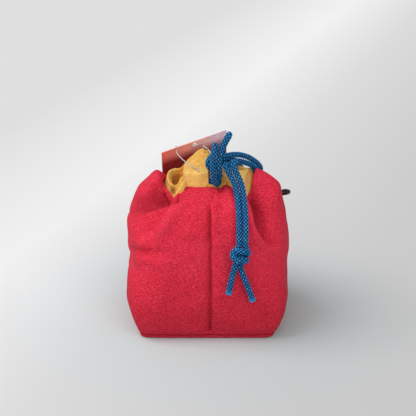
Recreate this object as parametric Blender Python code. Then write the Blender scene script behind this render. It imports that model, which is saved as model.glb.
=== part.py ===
"""A padded drawstring pouch, drawn shut and tied, in metres. X is right, Y is back, Z is up."""

from bisect import bisect
from math import ceil, cos, exp, pi, radians, sin

import bmesh
import bpy
from mathutils import Matrix, Vector

# Driving sizes of the pouch.
belly_half_width = 0.0503
belly_half_depth = 0.0455
base_half_width = 0.0425
base_half_depth = 0.0385
shoulder_height = 0.098
belly_height = 0.026
arc_start_height = 0.050
belly_swell = 0.8
belly_squareness = 2.9
base_squareness = 14.0
base_edge_height = 0.0024
fit_gap = 0.0003
run_out = 0.002

# Layers of the wall, outside to inside.
outer_cloth = 0.0012
wadding_depth = 0.0022
lining_cloth = 0.0008
wadding_clearance = 0.0009
lining_clearance = 0.0006
lining_top_clearance = 0.0012

# The base, bottom to top.
base_wadding_thickness = 0.0018
board_thickness = 0.0015
board_clearance = 0.0010

# Collar and drawstring channel.
collar_cloth = 0.0012
rim_thickness = 0.0028
cord_diameter = 0.0034
cord_side_clearance = 0.0005
channel_level = 0.0944
filament_room = 0.0013
slot_left_station = 19.82
slot_right_station = 1.30
channel_cord_start = 1.90
channel_cord_end = 19.50

# Swing tag and its fastener.
tag_width = 0.0475
tag_height = 0.050
tag_thickness = 0.0005
tag_hole_radius = 0.0013
tag_hole_drop = 0.0028
tag_corner = Vector((-0.0294, 0.0250, 0.1012))
tag_top_direction = Vector((0.0419, 0.0200, 0.0098)).normalized()
tag_lean_share = 0.45  # how far the card leans back for each unit of drop
filament_diameter = 0.0006
filament_hole_radius = 0.0007
filament_hole_place = Vector((-0.0055, -0.0165, 0.1012))
filament_hole_depth = 0.0088
head_length = 0.0034
head_width = 0.0017
head_height = 0.0016
head_bevel = 0.0003

# The tails swing about a line across their front, where they leave the bow.
tail_hinge_place = Vector((0.0152, -0.0310, 0.1059))

# Hanging loop of thin black cord.
loop_cord_diameter = 0.0024

# Short steps of a smooth curve between two of a route's points.
line_steps = 12
# A tube's points stand this share of the cord's diameter apart.
cord_point_share = 0.8
# The first and last step of a tube is this share of the others.
end_step_share = 0.2

# Each pleat line runs from the belly up to the seam between body and collar:
# (belly angle in degrees, seam x, y and z as shares of half width, half depth and shoulder height,
# fullness of the shoulder, roll of the shoulder above its seam as a share of shoulder height).
pleat_shares = (
    (272.8, 0.044, -0.422, 0.951, 2.6, 0.0),  # front seam
    (283, 0.155, -0.418, 0.944, 2.4, 0.0),
    (292, 0.227, -0.424, 0.967, 2.5, 0.0),  # small tuck in the front
    (303, 0.324, -0.440, 0.939, 2.6, 0.0),
    (316, 0.467, -0.505, 0.901, 1.3, 0.0),  # front right valley
    (330, 0.537, -0.308, 0.918, 2.2, 0.03),
    (352, 0.583, -0.088, 0.940, 2.5, 0.075),  # right lobe
    (15, 0.557, 0.110, 0.928, 2.1, 0.0),
    (40, 0.457, 0.300, 0.898, 1.5, 0.0),  # back right valley
    (64, 0.239, 0.198, 0.929, 2.4, 0.0),
    (90, 0.0, 0.198, 0.931, 2.6, 0.0),  # back seam
    (116, -0.199, 0.198, 0.929, 2.4, 0.0),
    (140, -0.398, 0.300, 0.893, 1.5, 0.0),  # back left valley
    (160, -0.477, 0.121, 0.925, 2.2, 0.04),
    (180, -0.533, -0.022, 0.935, 2.1, 0.07),  # left lobe
    (198, -0.527, -0.176, 0.930, 2.1, 0.055),
    (214, -0.467, -0.363, 0.910, 2.1, 0.015),
    (228, -0.376, -0.530, 0.885, 1.3, 0.0),  # front left valley
    (240, -0.282, -0.431, 0.949, 2.5, 0.0),
    (256, -0.119, -0.426, 0.951, 2.7, 0.0),
)

# Soft folds pressed into the wall: (pleat line, level, spread along the pleat lines, spread in
# level, depth as a share of the belly's half width).
fold_shares = (
    (15.0, 0.86, 1.8, 0.16, 0.060),  # waist crease at the left
    (16.5, 1.22, 0.8, 0.22, 0.075),  # front left valley
    (16.9, 1.45, 0.7, 0.20, 0.050),
    (4.2, 1.30, 0.6, 0.20, 0.070),  # front right valley
    (4.6, 1.12, 0.7, 0.12, 0.030),
    (8.2, 1.30, 0.8, 0.25, 0.060),  # back right valley
    (12.0, 1.25, 0.8, 0.25, 0.060),  # back left valley
)

# The collar's top rim over the same pleat lines, in the same shares, then how far the channel
# droops there as a share of the channel's level.
rim_shares = (
    (0.040, -0.402, 1.056, 0.0),
    (0.150, -0.391, 1.041, 0.0),
    (0.235, -0.365, 1.041, 0.0),
    (0.330, -0.321, 1.045, 0.0),
    (0.423, -0.264, 1.041, 0.004),
    (0.493, -0.189, 1.034, 0.008),
    (0.543, -0.066, 1.022, 0.010),
    (0.521, 0.066, 1.012, 0.012),
    (0.408, 0.149, 1.014, 0.012),
    (0.229, 0.160, 1.043, 0.006),
    (-0.030, 0.143, 1.124, 0.0),
    (-0.195, 0.134, 1.078, 0.004),
    (-0.328, 0.121, 1.003, 0.010),
    (-0.421, 0.079, 1.000, 0.014),
    (-0.489, -0.033, 1.003, 0.016),
    (-0.509, -0.176, 0.996, 0.018),
    (-0.469, -0.308, 0.986, 0.024),
    (-0.372, -0.390, 0.982, 0.026),
    (-0.284, -0.403, 1.052, 0.010),
    (-0.119, -0.407, 1.059, 0.0),
)

# Routes of the cord, chosen by hand. The left half leaves the slot's right end, stands up as the
# small upright loop, wraps the throat of the bow and makes the wide loop.
left_bow_route = (
    (0.0093, -0.0139, 0.0944),
    (0.0081, -0.0142, 0.0944),
    (0.0069, -0.0150, 0.0944),
    (0.0063, -0.0166, 0.0945),
    (0.0061, -0.0187, 0.0948),
    (0.0060, -0.0212, 0.0958),
    (0.0048, -0.0242, 0.0983),
    (0.0040, -0.0266, 0.1021),
    (0.0037, -0.0278, 0.1060),
    (0.0035, -0.0282, 0.1102),
    (0.0037, -0.0284, 0.1144),
    (0.0041, -0.0280, 0.1180),
    (0.0047, -0.0268, 0.1209),
    (0.0050, -0.0242, 0.1212),
    (0.0051, -0.0216, 0.1196),
    (0.0047, -0.0202, 0.1165),
    (0.0036, -0.0200, 0.1135),
    (0.0019, -0.0213, 0.1122),
    (0.0008, -0.0228, 0.1106),
    (0.0008, -0.0232, 0.1083),
    (0.0022, -0.0222, 0.1062),
    (0.0044, -0.0206, 0.1057),
    (0.0063, -0.0192, 0.1069),
    (0.0086, -0.0184, 0.1090),
    (0.0111, -0.0176, 0.1121),
    (0.0139, -0.0152, 0.1123),
    (0.0166, -0.0122, 0.1117),
    (0.0198, -0.0086, 0.1105),
    (0.0230, -0.0050, 0.1087),
    (0.0262, -0.0014, 0.1064),
    (0.0292, 0.0020, 0.1035),
    (0.0317, 0.0056, 0.1003),
    (0.0335, 0.0094, 0.0967),
    (0.0337, 0.0140, 0.0929),
    (0.0309, 0.0176, 0.0909),
    (0.0266, 0.0186, 0.0913),
    (0.0218, 0.0182, 0.0921),
    (0.0162, 0.0158, 0.0974),
    (0.0132, 0.0122, 0.1012),
    (0.0115, 0.0080, 0.1042),
    (0.0110, 0.0035, 0.1054),
    (0.0108, -0.0030, 0.1057),
    (0.0109, -0.0090, 0.1050),
    (0.0115, -0.0140, 0.1047),
    (0.0123, -0.0178, 0.1053),
    (0.0123, -0.0212, 0.1076),
    (0.0117, -0.0242, 0.1090),
    (0.0114, -0.0272, 0.1093),
    (0.0124, -0.0286, 0.1071),
)
# The first tail comes over the throat, hangs down, and turns once round the other in the
# overhand knot.
left_tail_route = (
    (0.0141, -0.0294, 0.1038),
    (0.0166, -0.0308, 0.0991),
    (0.0179, -0.0334, 0.0942),
    (0.0186, -0.0374, 0.0893),
    (0.0190, -0.0410, 0.0842),
    (0.0192, -0.0440, 0.0790),
    (0.0192, -0.0468, 0.0743),
    (0.0192, -0.0484, 0.0698),
    (0.0191, -0.0496, 0.0665),
    (0.0176, -0.0518, 0.0651),
    (0.0157, -0.0534, 0.0638),
    (0.0153, -0.0546, 0.0617),
    (0.0171, -0.0554, 0.0601),
    (0.0199, -0.0554, 0.0596),
    (0.0225, -0.0538, 0.0593),
    (0.0235, -0.0508, 0.0578),
    (0.0223, -0.0480, 0.0558),
    (0.0206, -0.0469, 0.0539),
    (0.0202, -0.0475, 0.0518),
    (0.0214, -0.0488, 0.0480),
    (0.0239, -0.0488, 0.0415),
    (0.0261, -0.0488, 0.0355),
    (0.0277, -0.0488, 0.0304),
)
# The right half leaves the slot's left end, makes the tall loop and the inner wide loop.
right_bow_route = (
    (-0.0010, -0.0151, 0.0944),
    (0.0002, -0.0151, 0.0944),
    (0.0015, -0.0155, 0.0948),
    (0.0026, -0.0163, 0.0962),
    (0.0034, -0.0170, 0.0976),
    (0.0046, -0.0178, 0.0986),
    (0.0066, -0.0196, 0.0997),
    (0.0074, -0.0222, 0.1011),
    (0.0077, -0.0248, 0.1031),
    (0.0074, -0.0264, 0.1071),
    (0.0072, -0.0262, 0.1111),
    (0.0076, -0.0250, 0.1148),
    (0.0088, -0.0236, 0.1188),
    (0.0107, -0.0220, 0.1227),
    (0.0126, -0.0198, 0.1259),
    (0.0135, -0.0172, 0.1261),
    (0.0132, -0.0146, 0.1238),
    (0.0112, -0.0132, 0.1196),
    (0.0096, -0.0122, 0.1153),
    (0.0095, -0.0114, 0.1113),
    (0.0113, -0.0118, 0.1088),
    (0.0141, -0.0132, 0.1084),
    (0.0172, -0.0120, 0.1078),
    (0.0205, -0.0094, 0.1065),
    (0.0241, -0.0062, 0.1045),
    (0.0276, -0.0028, 0.1020),
    (0.0297, 0.0000, 0.0995),
    (0.0310, 0.0036, 0.0969),
    (0.0303, 0.0076, 0.0949),
    (0.0275, 0.0108, 0.0940),
    (0.0239, 0.0124, 0.0935),
    (0.0194, 0.0118, 0.0980),
    (0.0168, 0.0088, 0.1016),
    (0.0156, 0.0040, 0.1040),
    (0.0152, -0.0004, 0.1044),
    (0.0154, -0.0050, 0.1039),
    (0.0156, -0.0100, 0.1040),
    (0.0164, -0.0142, 0.1048),
    (0.0172, -0.0182, 0.1064),
    (0.0170, -0.0212, 0.1090),
    (0.0163, -0.0240, 0.1108),
    (0.0151, -0.0270, 0.1107),
    (0.0166, -0.0286, 0.1076),
)
right_tail_route = (
    (0.0184, -0.0294, 0.1040),
    (0.0205, -0.0308, 0.0993),
    (0.0217, -0.0334, 0.0942),
    (0.0224, -0.0374, 0.0893),
    (0.0228, -0.0410, 0.0842),
    (0.0230, -0.0440, 0.0790),
    (0.0230, -0.0468, 0.0743),
    (0.0229, -0.0484, 0.0698),
    (0.0228, -0.0494, 0.0667),
    (0.0235, -0.0502, 0.0648),
    (0.0226, -0.0508, 0.0630),
    (0.0206, -0.0500, 0.0616),
    (0.0188, -0.0492, 0.0598),
    (0.0176, -0.0494, 0.0574),
    (0.0171, -0.0498, 0.0550),
    (0.0164, -0.0494, 0.0515),
    (0.0153, -0.0488, 0.0467),
    (0.0141, -0.0488, 0.0408),
    (0.0131, -0.0488, 0.0349),
)
# The tag's filament, from its head over the collar, through the channel and back.
filament_route = (
    (-0.0060, 0.0359, 0.1035),
    (-0.0043, 0.0365, 0.1037),
    (-0.0015, 0.0375, 0.1033),
    (-0.0024, 0.0150, 0.1088),
    (-0.0000, 0.0068, 0.1098),
    (0.0021, 0.0010, 0.1090),
    (0.0030, -0.0040, 0.1065),
    (0.0027, -0.0086, 0.1020),
    (0.0026, -0.0114, 0.0992),
    (0.0019, -0.0136, 0.0975),
    (0.0006, -0.0147, 0.0968),
    (-0.0016, -0.0150, 0.0968),
    (-0.0036, -0.0153, 0.0968),
    (-0.0050, -0.0161, 0.0969),
    (-0.0055, -0.0165, 0.0978),
    (-0.0055, -0.0165, 0.0996),
    (-0.0055, -0.0165, 0.1022),
    (-0.0055, -0.0165, 0.1044),
    (-0.0065, -0.0148, 0.1036),
    (-0.0083, -0.0116, 0.1034),
    (-0.0114, -0.0040, 0.1030),
    (-0.0148, 0.0048, 0.1027),
    (-0.0181, 0.0135, 0.1032),
    (-0.0198, 0.0208, 0.1036),
    (-0.0194, 0.0287, 0.1021),
    (-0.0198, 0.0283, 0.1034),
    (-0.0203, 0.0289, 0.1043),
    (-0.0206, 0.0300, 0.1042),
    (-0.0196, 0.0313, 0.1034),
    (-0.0169, 0.0328, 0.1032),
    (-0.0126, 0.0351, 0.1035),
    (-0.0100, 0.0362, 0.1037),
    (-0.0087, 0.0363, 0.1036),
    (-0.0083, 0.0360, 0.1035),
)
# The hanging loop, sewn to the right side at both ends: each row is x, y and z as shares of
# the belly's half width, its half depth and the shoulder's height.
loop_shares = (
    (0.9026, 0.1714, 0.8102),
    (0.9344, 0.1868, 0.8184),
    (0.9781, 0.2000, 0.8245),
    (1.0199, 0.2264, 0.8194),
    (1.0398, 0.2791, 0.8061),
    (1.0318, 0.3341, 0.7908),
    (0.9960, 0.3714, 0.7806),
    (0.9543, 0.3758, 0.7745),
    (0.9165, 0.3626, 0.7673),
    (0.8827, 0.3407, 0.7592),
)


def clear_scene():
    for item in list(bpy.data.objects):
        bpy.data.objects.remove(item, do_unlink=True)


def material(name, color, roughness):
    made = bpy.data.materials.new(name)
    made.use_nodes = True
    shader = made.node_tree.nodes["Principled BSDF"]
    shader.inputs["Base Color"].default_value = (*color, 1.0)
    shader.inputs["Roughness"].default_value = roughness
    shader.inputs["Metallic"].default_value = 0.0
    return made


def finish(name, mesh_builder, color, roughness, smooth=True):
    """Turns a bmesh into an object with its own material."""
    mesh = bpy.data.meshes.new(name)
    bmesh.ops.recalc_face_normals(mesh_builder, faces=mesh_builder.faces)
    mesh_builder.to_mesh(mesh)
    mesh_builder.free()
    if smooth:
        mesh.shade_smooth()
        mesh.set_sharp_from_angle(angle=radians(40))
    made = bpy.data.objects.new(name, mesh)
    bpy.context.scene.collection.objects.link(made)
    mesh.materials.append(material(name, color, roughness))
    return made


def cubic(a, b, c, d, t):
    """Smooth value between b and c, with a and d as the neighbours."""
    return 0.5 * (
        2 * b + (c - a) * t + (2 * a - 5 * b + 4 * c - d) * t**2 + (3 * b - a - 3 * c + d) * t**3
    )


def table_row(table, station):
    """A row of a closed table, read between its pleat lines."""
    count = len(table)
    first = int(station // 1)
    t = station - first
    rows = [table[(first + step) % count] for step in (-1, 0, 1, 2)]
    return [cubic(*values, t) for values in zip(*rows)]


def belly_angle(station):
    """Pleat angles grow all the way round, so they are unwrapped before they are read."""
    count = len(pleat_shares)
    first = int(station // 1)
    t = station - first
    angles = []
    for step in (-1, 0, 1, 2):
        turns, index = divmod(first + step, count)
        angle = pleat_shares[index][0]
        wrapped = angle if angle >= pleat_shares[0][0] else angle + 360
        angles.append(wrapped + 360 * turns)
    return radians(cubic(*angles, t))


def rounded_outline(angle, half_width, half_depth, squareness):
    across = abs(cos(angle)) / half_width
    along = abs(sin(angle)) / half_depth
    reach = (across**squareness + along**squareness) ** (-1 / squareness)
    return Vector((reach * cos(angle), reach * sin(angle), 0))


def dent(station, level):
    """How far the named folds press the wall in here."""
    count = len(pleat_shares)
    depth = 0.0
    for fold_station, fold_level, spread, rise, share in fold_shares:
        away = (station - fold_station + count / 2) % count - count / 2
        weight = (away / spread) ** 2 + ((level - fold_level) / rise) ** 2
        depth += share * belly_half_width * exp(-weight)
    return depth


def lower_wall(station, height):
    """The wall below the shoulder, which swells from the base to the belly."""
    rise = min((height - base_edge_height) / (belly_height - base_edge_height), 1)
    swell = (1 - (1 - rise) ** 2) ** belly_swell
    half_width = base_half_width + (belly_half_width - base_half_width) * swell
    half_depth = base_half_depth + (belly_half_depth - base_half_depth) * swell
    fade = (1 - height / arc_start_height) ** 2
    squareness = belly_squareness + (base_squareness - belly_squareness) * fade
    place = rounded_outline(belly_angle(station), half_width, half_depth, squareness)
    place.z = height
    return place


def seam_place(station):
    _, x, y, z, _, _ = table_row(pleat_shares, station)
    return Vector((x * belly_half_width, y * belly_half_depth, z * shoulder_height))


def rim_place(station):
    x, y, z, _ = table_row(rim_shares, station)
    return Vector((x * belly_half_width, y * belly_half_depth, z * shoulder_height))


def shoulder_wall(station, turn):
    """The shoulder from the belly, turn 0, to the collar seam, turn 1."""
    row = table_row(pleat_shares, station)
    fullness, roll = row[4], row[5]
    low = lower_wall(station, arc_start_height)
    high = seam_place(station)
    angle = turn * pi / 2
    outward = cos(angle) ** (2 / fullness) if turn < 1 else 0
    upward = sin(angle) ** (2 / fullness)
    place = high.lerp(low, outward)
    rolled = roll * shoulder_height
    place.z = low.z + (high.z + rolled - low.z) * upward - rolled * turn**24
    return place


def wall_place(station, level):
    """Level runs from 0 at the base edge, through 1 at the belly, to 2 at the collar seam."""
    if level <= 1:
        height = base_edge_height + (arc_start_height - base_edge_height) * level
        place = lower_wall(station, height)
    else:
        place = shoulder_wall(station, level - 1)
    outward = lower_wall(station, arc_start_height)
    outward.z = 0
    return place - outward.normalized() * dent(station, level)


def wall_normal(station, level):
    """The wall's outward direction, from two short steps along it."""
    step = 0.02
    high, low = min(level + step, 2), max(level - step, 0)
    around = wall_place(station + step, level) - wall_place(station - step, level)
    upward = wall_place(station, high) - wall_place(station, low)
    return around.cross(upward).normalized()


def wall_grid(stations, levels, depth):
    """Places of the wall moved in by a depth, one list for each level."""
    return [
        [wall_place(s, level) - wall_normal(s, level) * depth for s in stations]
        for level in levels
    ]


def skin(builder, grid, closed):
    """Triangles between the rows of a grid, split alike on every layer so that layers nest."""
    for lower, upper in zip(grid, grid[1:]):
        count = len(lower) if closed else len(lower) - 1
        for i in range(count):
            j = (i + 1) % len(lower)
            builder.faces.new((lower[i], lower[j], upper[j]))
            builder.faces.new((lower[i], upper[j], upper[i]))


def shell(name, outer_rows, inner_rows, closed, color, roughness):
    """A wall between two grids of places, closed at its edges."""
    builder = bmesh.new()
    outer = [[builder.verts.new(p) for p in row] for row in outer_rows]
    inner = [[builder.verts.new(p) for p in row] for row in inner_rows]
    skin(builder, outer, closed)
    skin(builder, inner, closed)
    skin(builder, [inner[0], outer[0]], closed)
    skin(builder, [outer[-1], inner[-1]], closed)
    if not closed:
        for column in (0, -1):
            skin(builder, [[row[column] for row in rows] for rows in (outer, inner)], False)
    return finish(name, builder, color, roughness)


def spaced(first, last, count):
    return [first + (last - first) * i / (count - 1) for i in range(count)]


outer_levels = [0, 0.06, 0.16, 0.32, 0.6, 1, 1.18, 1.36, 1.52, 1.66, 1.78, 1.87, 1.93, 1.97, 1.988, 2]
inner_levels = outer_levels[1:10]
layer_stations = spaced(0, len(pleat_shares), 3 * len(pleat_shares) + 1)[:-1]


def outer_panel(name, first, last):
    """One red panel, from the seam at its first pleat line to the seam at its last."""
    stations = spaced(first, last, 3 * (last - first) + 1)
    outer = wall_grid(stations, outer_levels, 0)
    inner = wall_grid(stations, outer_levels, outer_cloth)
    for rows in (outer, inner):
        for row in rows:
            row[0] = row[0] + (row[1] - row[0]).normalized() * fit_gap / 2
            row[-1] = row[-1] + (row[-2] - row[-1]).normalized() * fit_gap / 2
    return shell(name, outer, inner, False, (0.60, 0.03, 0.06), 0.75)


def wadding():
    outside = outer_cloth + wadding_clearance
    return shell(
        "wall_wadding",
        wall_grid(layer_stations, inner_levels, outside),
        wall_grid(layer_stations, inner_levels, outside + wadding_depth),
        True,
        (0.85, 0.84, 0.80),
        0.9,
    )


def lining_top(station):
    """The lining ends under the collar, also where the seam dips into a valley."""
    return min(channel_bottom(station), seam_place(station).z) - lining_top_clearance


def lining():
    """The lining runs up past the wadding to the underside of the collar."""
    outside = outer_cloth + wadding_clearance + wadding_depth + lining_clearance
    outer = wall_grid(layer_stations, inner_levels, outside)
    inner = wall_grid(layer_stations, inner_levels, outside + lining_cloth)
    reach = collar_section_width() - collar_cloth / 2
    for rows, depth in ((outer, reach - lining_cloth / 2), (inner, reach + lining_cloth / 2)):
        rows.append([ring_place(s, depth, lining_top(s)) for s in layer_stations])
    return shell("lining_wall", outer, inner, True, (0.70, 0.36, 0.08), 0.85)


def base_outline(inset, height, count=48):
    places = []
    for i in range(count):
        angle = 2 * pi * i / count
        place = rounded_outline(
            angle, base_half_width - inset, base_half_depth - inset, base_squareness
        )
        place.z = height
        places.append(place)
    return places


def plate(name, rows, color, roughness):
    """A flat piece from its outline at each height, bottom to top."""
    builder = bmesh.new()
    rings = [[builder.verts.new(p) for p in row] for row in rows]
    skin(builder, rings, True)
    builder.faces.new(rings[0][::-1])
    builder.faces.new(rings[-1])
    return finish(name, builder, color, roughness)


def outer_base():
    """The base cloth, turned up at its edge to meet the wall panels."""
    top = base_edge_height - fit_gap
    edge = 0.4 * outer_cloth
    rows = [
        base_outline(edge, 0),
        base_outline(0, edge),
        base_outline(0, top),
        base_outline(outer_cloth, top),
        base_outline(outer_cloth, outer_cloth),
    ]
    return plate("outer_base_panel", rows, (0.55, 0.03, 0.05), 0.75)


def base_layers():
    """Base padding, board and lining, stacked inside the walls."""
    wall = outer_cloth + wadding_clearance + wadding_depth + lining_clearance + lining_cloth
    inset = wall + board_clearance
    low = outer_cloth + fit_gap
    pieces = (
        ("base_wadding", base_wadding_thickness, (0.85, 0.84, 0.80), 0.9),
        ("base_board", board_thickness, (0.42, 0.30, 0.18), 0.8),
        ("lining_base", lining_cloth, (0.70, 0.36, 0.08), 0.85),
    )
    for name, thickness, color, roughness in pieces:
        rows = [base_outline(inset, low), base_outline(inset, low + thickness)]
        plate(name, rows, color, roughness)
        low += thickness + fit_gap


def collar_section_width():
    return 2 * collar_cloth + cord_diameter + 2 * cord_side_clearance


def channel_height(station):
    droop = table_row(rim_shares, station)[3]
    return channel_level * (1 - droop)


def channel_bottom(station):
    return channel_height(station) - cord_diameter / 2 - 2 * cord_side_clearance


def towards_mouth(station):
    """The level direction from the collar's rim in towards the mouth."""
    step = 0.05
    along = rim_place(station + step) - rim_place(station - step)
    return Vector((-along.y, along.x, 0)).normalized()


def ring_place(station, depth, height):
    """A place on the collar's ring, moved in towards the mouth by a depth."""
    place = rim_place(station) + towards_mouth(station) * depth
    place.z = height
    return place


def collar_section(station):
    """The folded strip's section: up its outside, over the rim, down inside, round the channel."""
    bottom = channel_bottom(station)
    top = channel_height(station) + cord_diameter / 2 + cord_side_clearance + filament_room
    width = collar_section_width()
    rim = rim_place(station)
    seam = seam_place(station)
    seam_top = seam + (Vector((0, 0, 1)) + towards_mouth(station)) * 2 * fit_gap
    crest = max(rim.z, top + 1.5 * collar_cloth)
    shoulder = top + 0.6 * (crest - top)
    return [
        seam_top,
        seam_top.lerp(Vector((rim.x, rim.y, crest)), 0.55),
        ring_place(station, 0, crest - 0.3 * rim_thickness),
        ring_place(station, 0.5 * rim_thickness, crest),
        ring_place(station, rim_thickness, crest - 0.3 * rim_thickness),
        ring_place(station, rim_thickness + 0.2 * collar_cloth, shoulder),
        ring_place(station, width, top - collar_cloth),
        ring_place(station, width, bottom),
        ring_place(station, width - collar_cloth, bottom),
        ring_place(station, width - collar_cloth, top - 0.9 * collar_cloth),
        ring_place(station, 1.8 * collar_cloth, top),
        ring_place(station, collar_cloth, top - collar_cloth),
        ring_place(station, collar_cloth, min(bottom, seam_top.z)),
    ]


# The faces that close the strip's ends, by the places of its section.
collar_end_faces = (
    (0, 1, 11, 12),
    (1, 2, 10, 11),
    (2, 3, 10),
    (3, 4, 10),
    (4, 5, 10),
    (5, 6, 9, 10),
    (6, 7, 8, 9),
)


def collar():
    """The yellow strip, open at the front slot."""
    last = slot_left_station
    count = 3 * ceil(last - slot_right_station) + 1
    sections = [collar_section(s) for s in spaced(slot_right_station, last, count)]
    builder = bmesh.new()
    rings = [[builder.verts.new(p) for p in section] for section in sections]
    skin(builder, rings, True)
    for end in (rings[0], rings[-1]):
        for corners in collar_end_faces:
            builder.faces.new([end[i] for i in corners])
    strip = finish("collar_channel", builder, (0.80, 0.42, 0.08), 0.85)
    hole = bmesh.new()
    bmesh.ops.create_cone(
        hole,
        cap_ends=True,
        segments=8,
        radius1=filament_hole_radius,
        radius2=filament_hole_radius,
        depth=filament_hole_depth,
        matrix=Matrix.Translation(filament_hole_place),
    )
    cutter = finish("filament_hole_cutter", hole, (0.5, 0.5, 0.5), 0.5)
    cutter.hide_render = True
    cutter.display_type = "WIRE"
    cut = strip.modifiers.new("filament hole", "BOOLEAN")
    cut.operation = "DIFFERENCE"
    cut.object = cutter
    return strip


def fine_line(route):
    """Short steps along a smooth curve through the route's points, with the length so far."""
    points = [Vector(p) for p in route]
    ends = [2 * points[0] - points[1]] + points + [2 * points[-1] - points[-2]]
    line = []
    for a, b, c, d in zip(ends, ends[1:], ends[2:], ends[3:]):
        line += [cubic(a, b, c, d, i / line_steps) for i in range(line_steps)]
    line.append(points[-1])
    lengths = [0.0]
    for p, q in zip(line, line[1:]):
        lengths.append(lengths[-1] + (q - p).length)
    return line, lengths


def stretch(line, lengths, first, last, spacing):
    """Even steps along the line between two lengths, short at both ends to face them squarely."""
    steps = spaced(first, last, ceil((last - first) / spacing) + 1)
    short = end_step_share * spacing
    places = []
    for length in [first, first + short, *steps[1:-1], last - short, last]:
        index = min(max(bisect(lengths, length) - 1, 0), len(line) - 2)
        span = lengths[index + 1] - lengths[index]
        places.append(line[index].lerp(line[index + 1], (length - lengths[index]) / span))
    return places


def tube(name, places, diameter, color, roughness, origin=Vector(), sides=2):
    """A round tube through the places, as a curve object whose origin is given."""
    curve = bpy.data.curves.new(name, "CURVE")
    curve.dimensions = "3D"
    curve.bevel_depth = diameter / 2
    curve.bevel_resolution = sides
    curve.use_fill_caps = True
    spline = curve.splines.new("POLY")
    spline.points.add(len(places) - 1)
    for point, place in zip(spline.points, places):
        point.co = (*(place - origin), 1)
    spline.use_smooth = True
    made = bpy.data.objects.new(name, curve)
    made.location = origin
    bpy.context.scene.collection.objects.link(made)
    curve.materials.append(material(name, color, roughness))
    return made


def drawstring():
    """One cord, cut into five pieces a fit gap apart."""
    inside = [
        ring_place(s, collar_section_width() / 2, channel_height(s))
        for s in spaced(channel_cord_start, channel_cord_end, 45)
    ]
    sections = (
        ("drawstring_left_tail", left_tail_route[::-1]),
        ("drawstring_left_bow", left_bow_route[::-1]),
        ("drawstring_channel_run", inside),
        ("drawstring_right_bow", right_bow_route),
        ("drawstring_right_tail", right_tail_route),
    )
    line, lengths = fine_line([p for _, route in sections for p in route])
    cuts = [-fit_gap / 2]
    count = 0
    for _, route in sections[:-1]:
        count += line_steps * len(route)
        cuts.append((lengths[count - line_steps] + lengths[count]) / 2)
    cuts.append(lengths[-1] + fit_gap / 2)
    step = cord_point_share * cord_diameter
    for (name, _), first, last in zip(sections, cuts, cuts[1:]):
        places = stretch(line, lengths, first + fit_gap / 2, last - fit_gap / 2, step)
        origin = tail_hinge_place if name.endswith("tail") else Vector()
        tube(name, places, cord_diameter, (0.02, 0.12, 0.26), 0.6, origin)


def hanging_loop():
    route = [
        Vector((x * belly_half_width, y * belly_half_depth, z * shoulder_height))
        for x, y, z in loop_shares
    ]
    line, lengths = fine_line(route)
    places = stretch(line, lengths, 0, lengths[-1], loop_cord_diameter)
    tube("hanging_loop", places, loop_cord_diameter, (0.02, 0.022, 0.025), 0.5)


def tag_frame():
    """The tag's own axes: along its top edge, down its side and out of its back face. Their
    origin is the centre of its hole, where the tag swings on its filament."""
    along = tag_top_direction
    side = Vector((0, tag_lean_share, -1))
    side = (side - along * side.dot(along)).normalized()
    frame = Matrix((along, side, along.cross(side))).transposed().to_4x4()
    frame.translation = tag_corner + along * tag_width / 2 + side * tag_hole_drop
    return frame


def tag():
    builder = bmesh.new()
    bmesh.ops.create_cube(builder, size=1)
    bmesh.ops.scale(builder, verts=builder.verts, vec=(tag_width, tag_height, tag_thickness))
    below_hole = tag_height / 2 - tag_hole_drop
    bmesh.ops.translate(builder, verts=builder.verts, vec=(0, below_hole, 0))
    card = finish("tag_card", builder, (0.55, 0.22, 0.20), 0.4, smooth=False)
    card.matrix_world = tag_frame()
    hole = bmesh.new()
    bmesh.ops.create_cone(
        hole,
        cap_ends=True,
        segments=16,
        radius1=tag_hole_radius,
        radius2=tag_hole_radius,
        depth=tag_thickness + 2 * run_out,
    )
    cutter = finish("tag_hole_cutter", hole, (0.5, 0.5, 0.5), 0.5)
    cutter.matrix_world = tag_frame()
    cutter.hide_render = True
    cutter.display_type = "WIRE"
    cut = card.modifiers.new("hole", "BOOLEAN")
    cut.operation = "DIFFERENCE"
    cut.object = cutter
    return card


def fastener():
    clear = (0.85, 0.85, 0.83)
    line, lengths = fine_line(filament_route)
    places = stretch(line, lengths, 0, lengths[-1], 3 * filament_diameter)
    tube("tag_fastener_loop", places, filament_diameter, clear, 0.3, sides=1)
    builder = bmesh.new()
    bmesh.ops.create_cube(builder, size=1)
    bmesh.ops.scale(builder, verts=builder.verts, vec=(head_length, head_width, head_height))
    bmesh.ops.bevel(
        builder, geom=builder.edges[:], offset=head_bevel, segments=1, profile=0.5, affect="EDGES"
    )
    lift = tag_thickness / 2 + fit_gap + head_height / 2
    bmesh.ops.translate(builder, verts=builder.verts, vec=(0, 0, -lift))
    head = finish("tag_fastener_head", builder, clear, 0.3)
    head.matrix_world = tag_frame()
    return head


def main():
    clear_scene()
    half = len(pleat_shares) // 2
    outer_panel("outer_right_panel", 0, half)
    outer_panel("outer_left_panel", half, 2 * half)
    wadding()
    lining()
    outer_base()
    base_layers()
    collar()
    drawstring()
    hanging_loop()
    tag()
    fastener()


main()
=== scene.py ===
from bisect import bisect
from functools import partial
from math import ceil, cos, floor, pi, radians, sin

import bmesh
import bpy
import numpy as np
from mathutils import Matrix, Vector, noise
from mathutils.bvhtree import BVHTree


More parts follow.
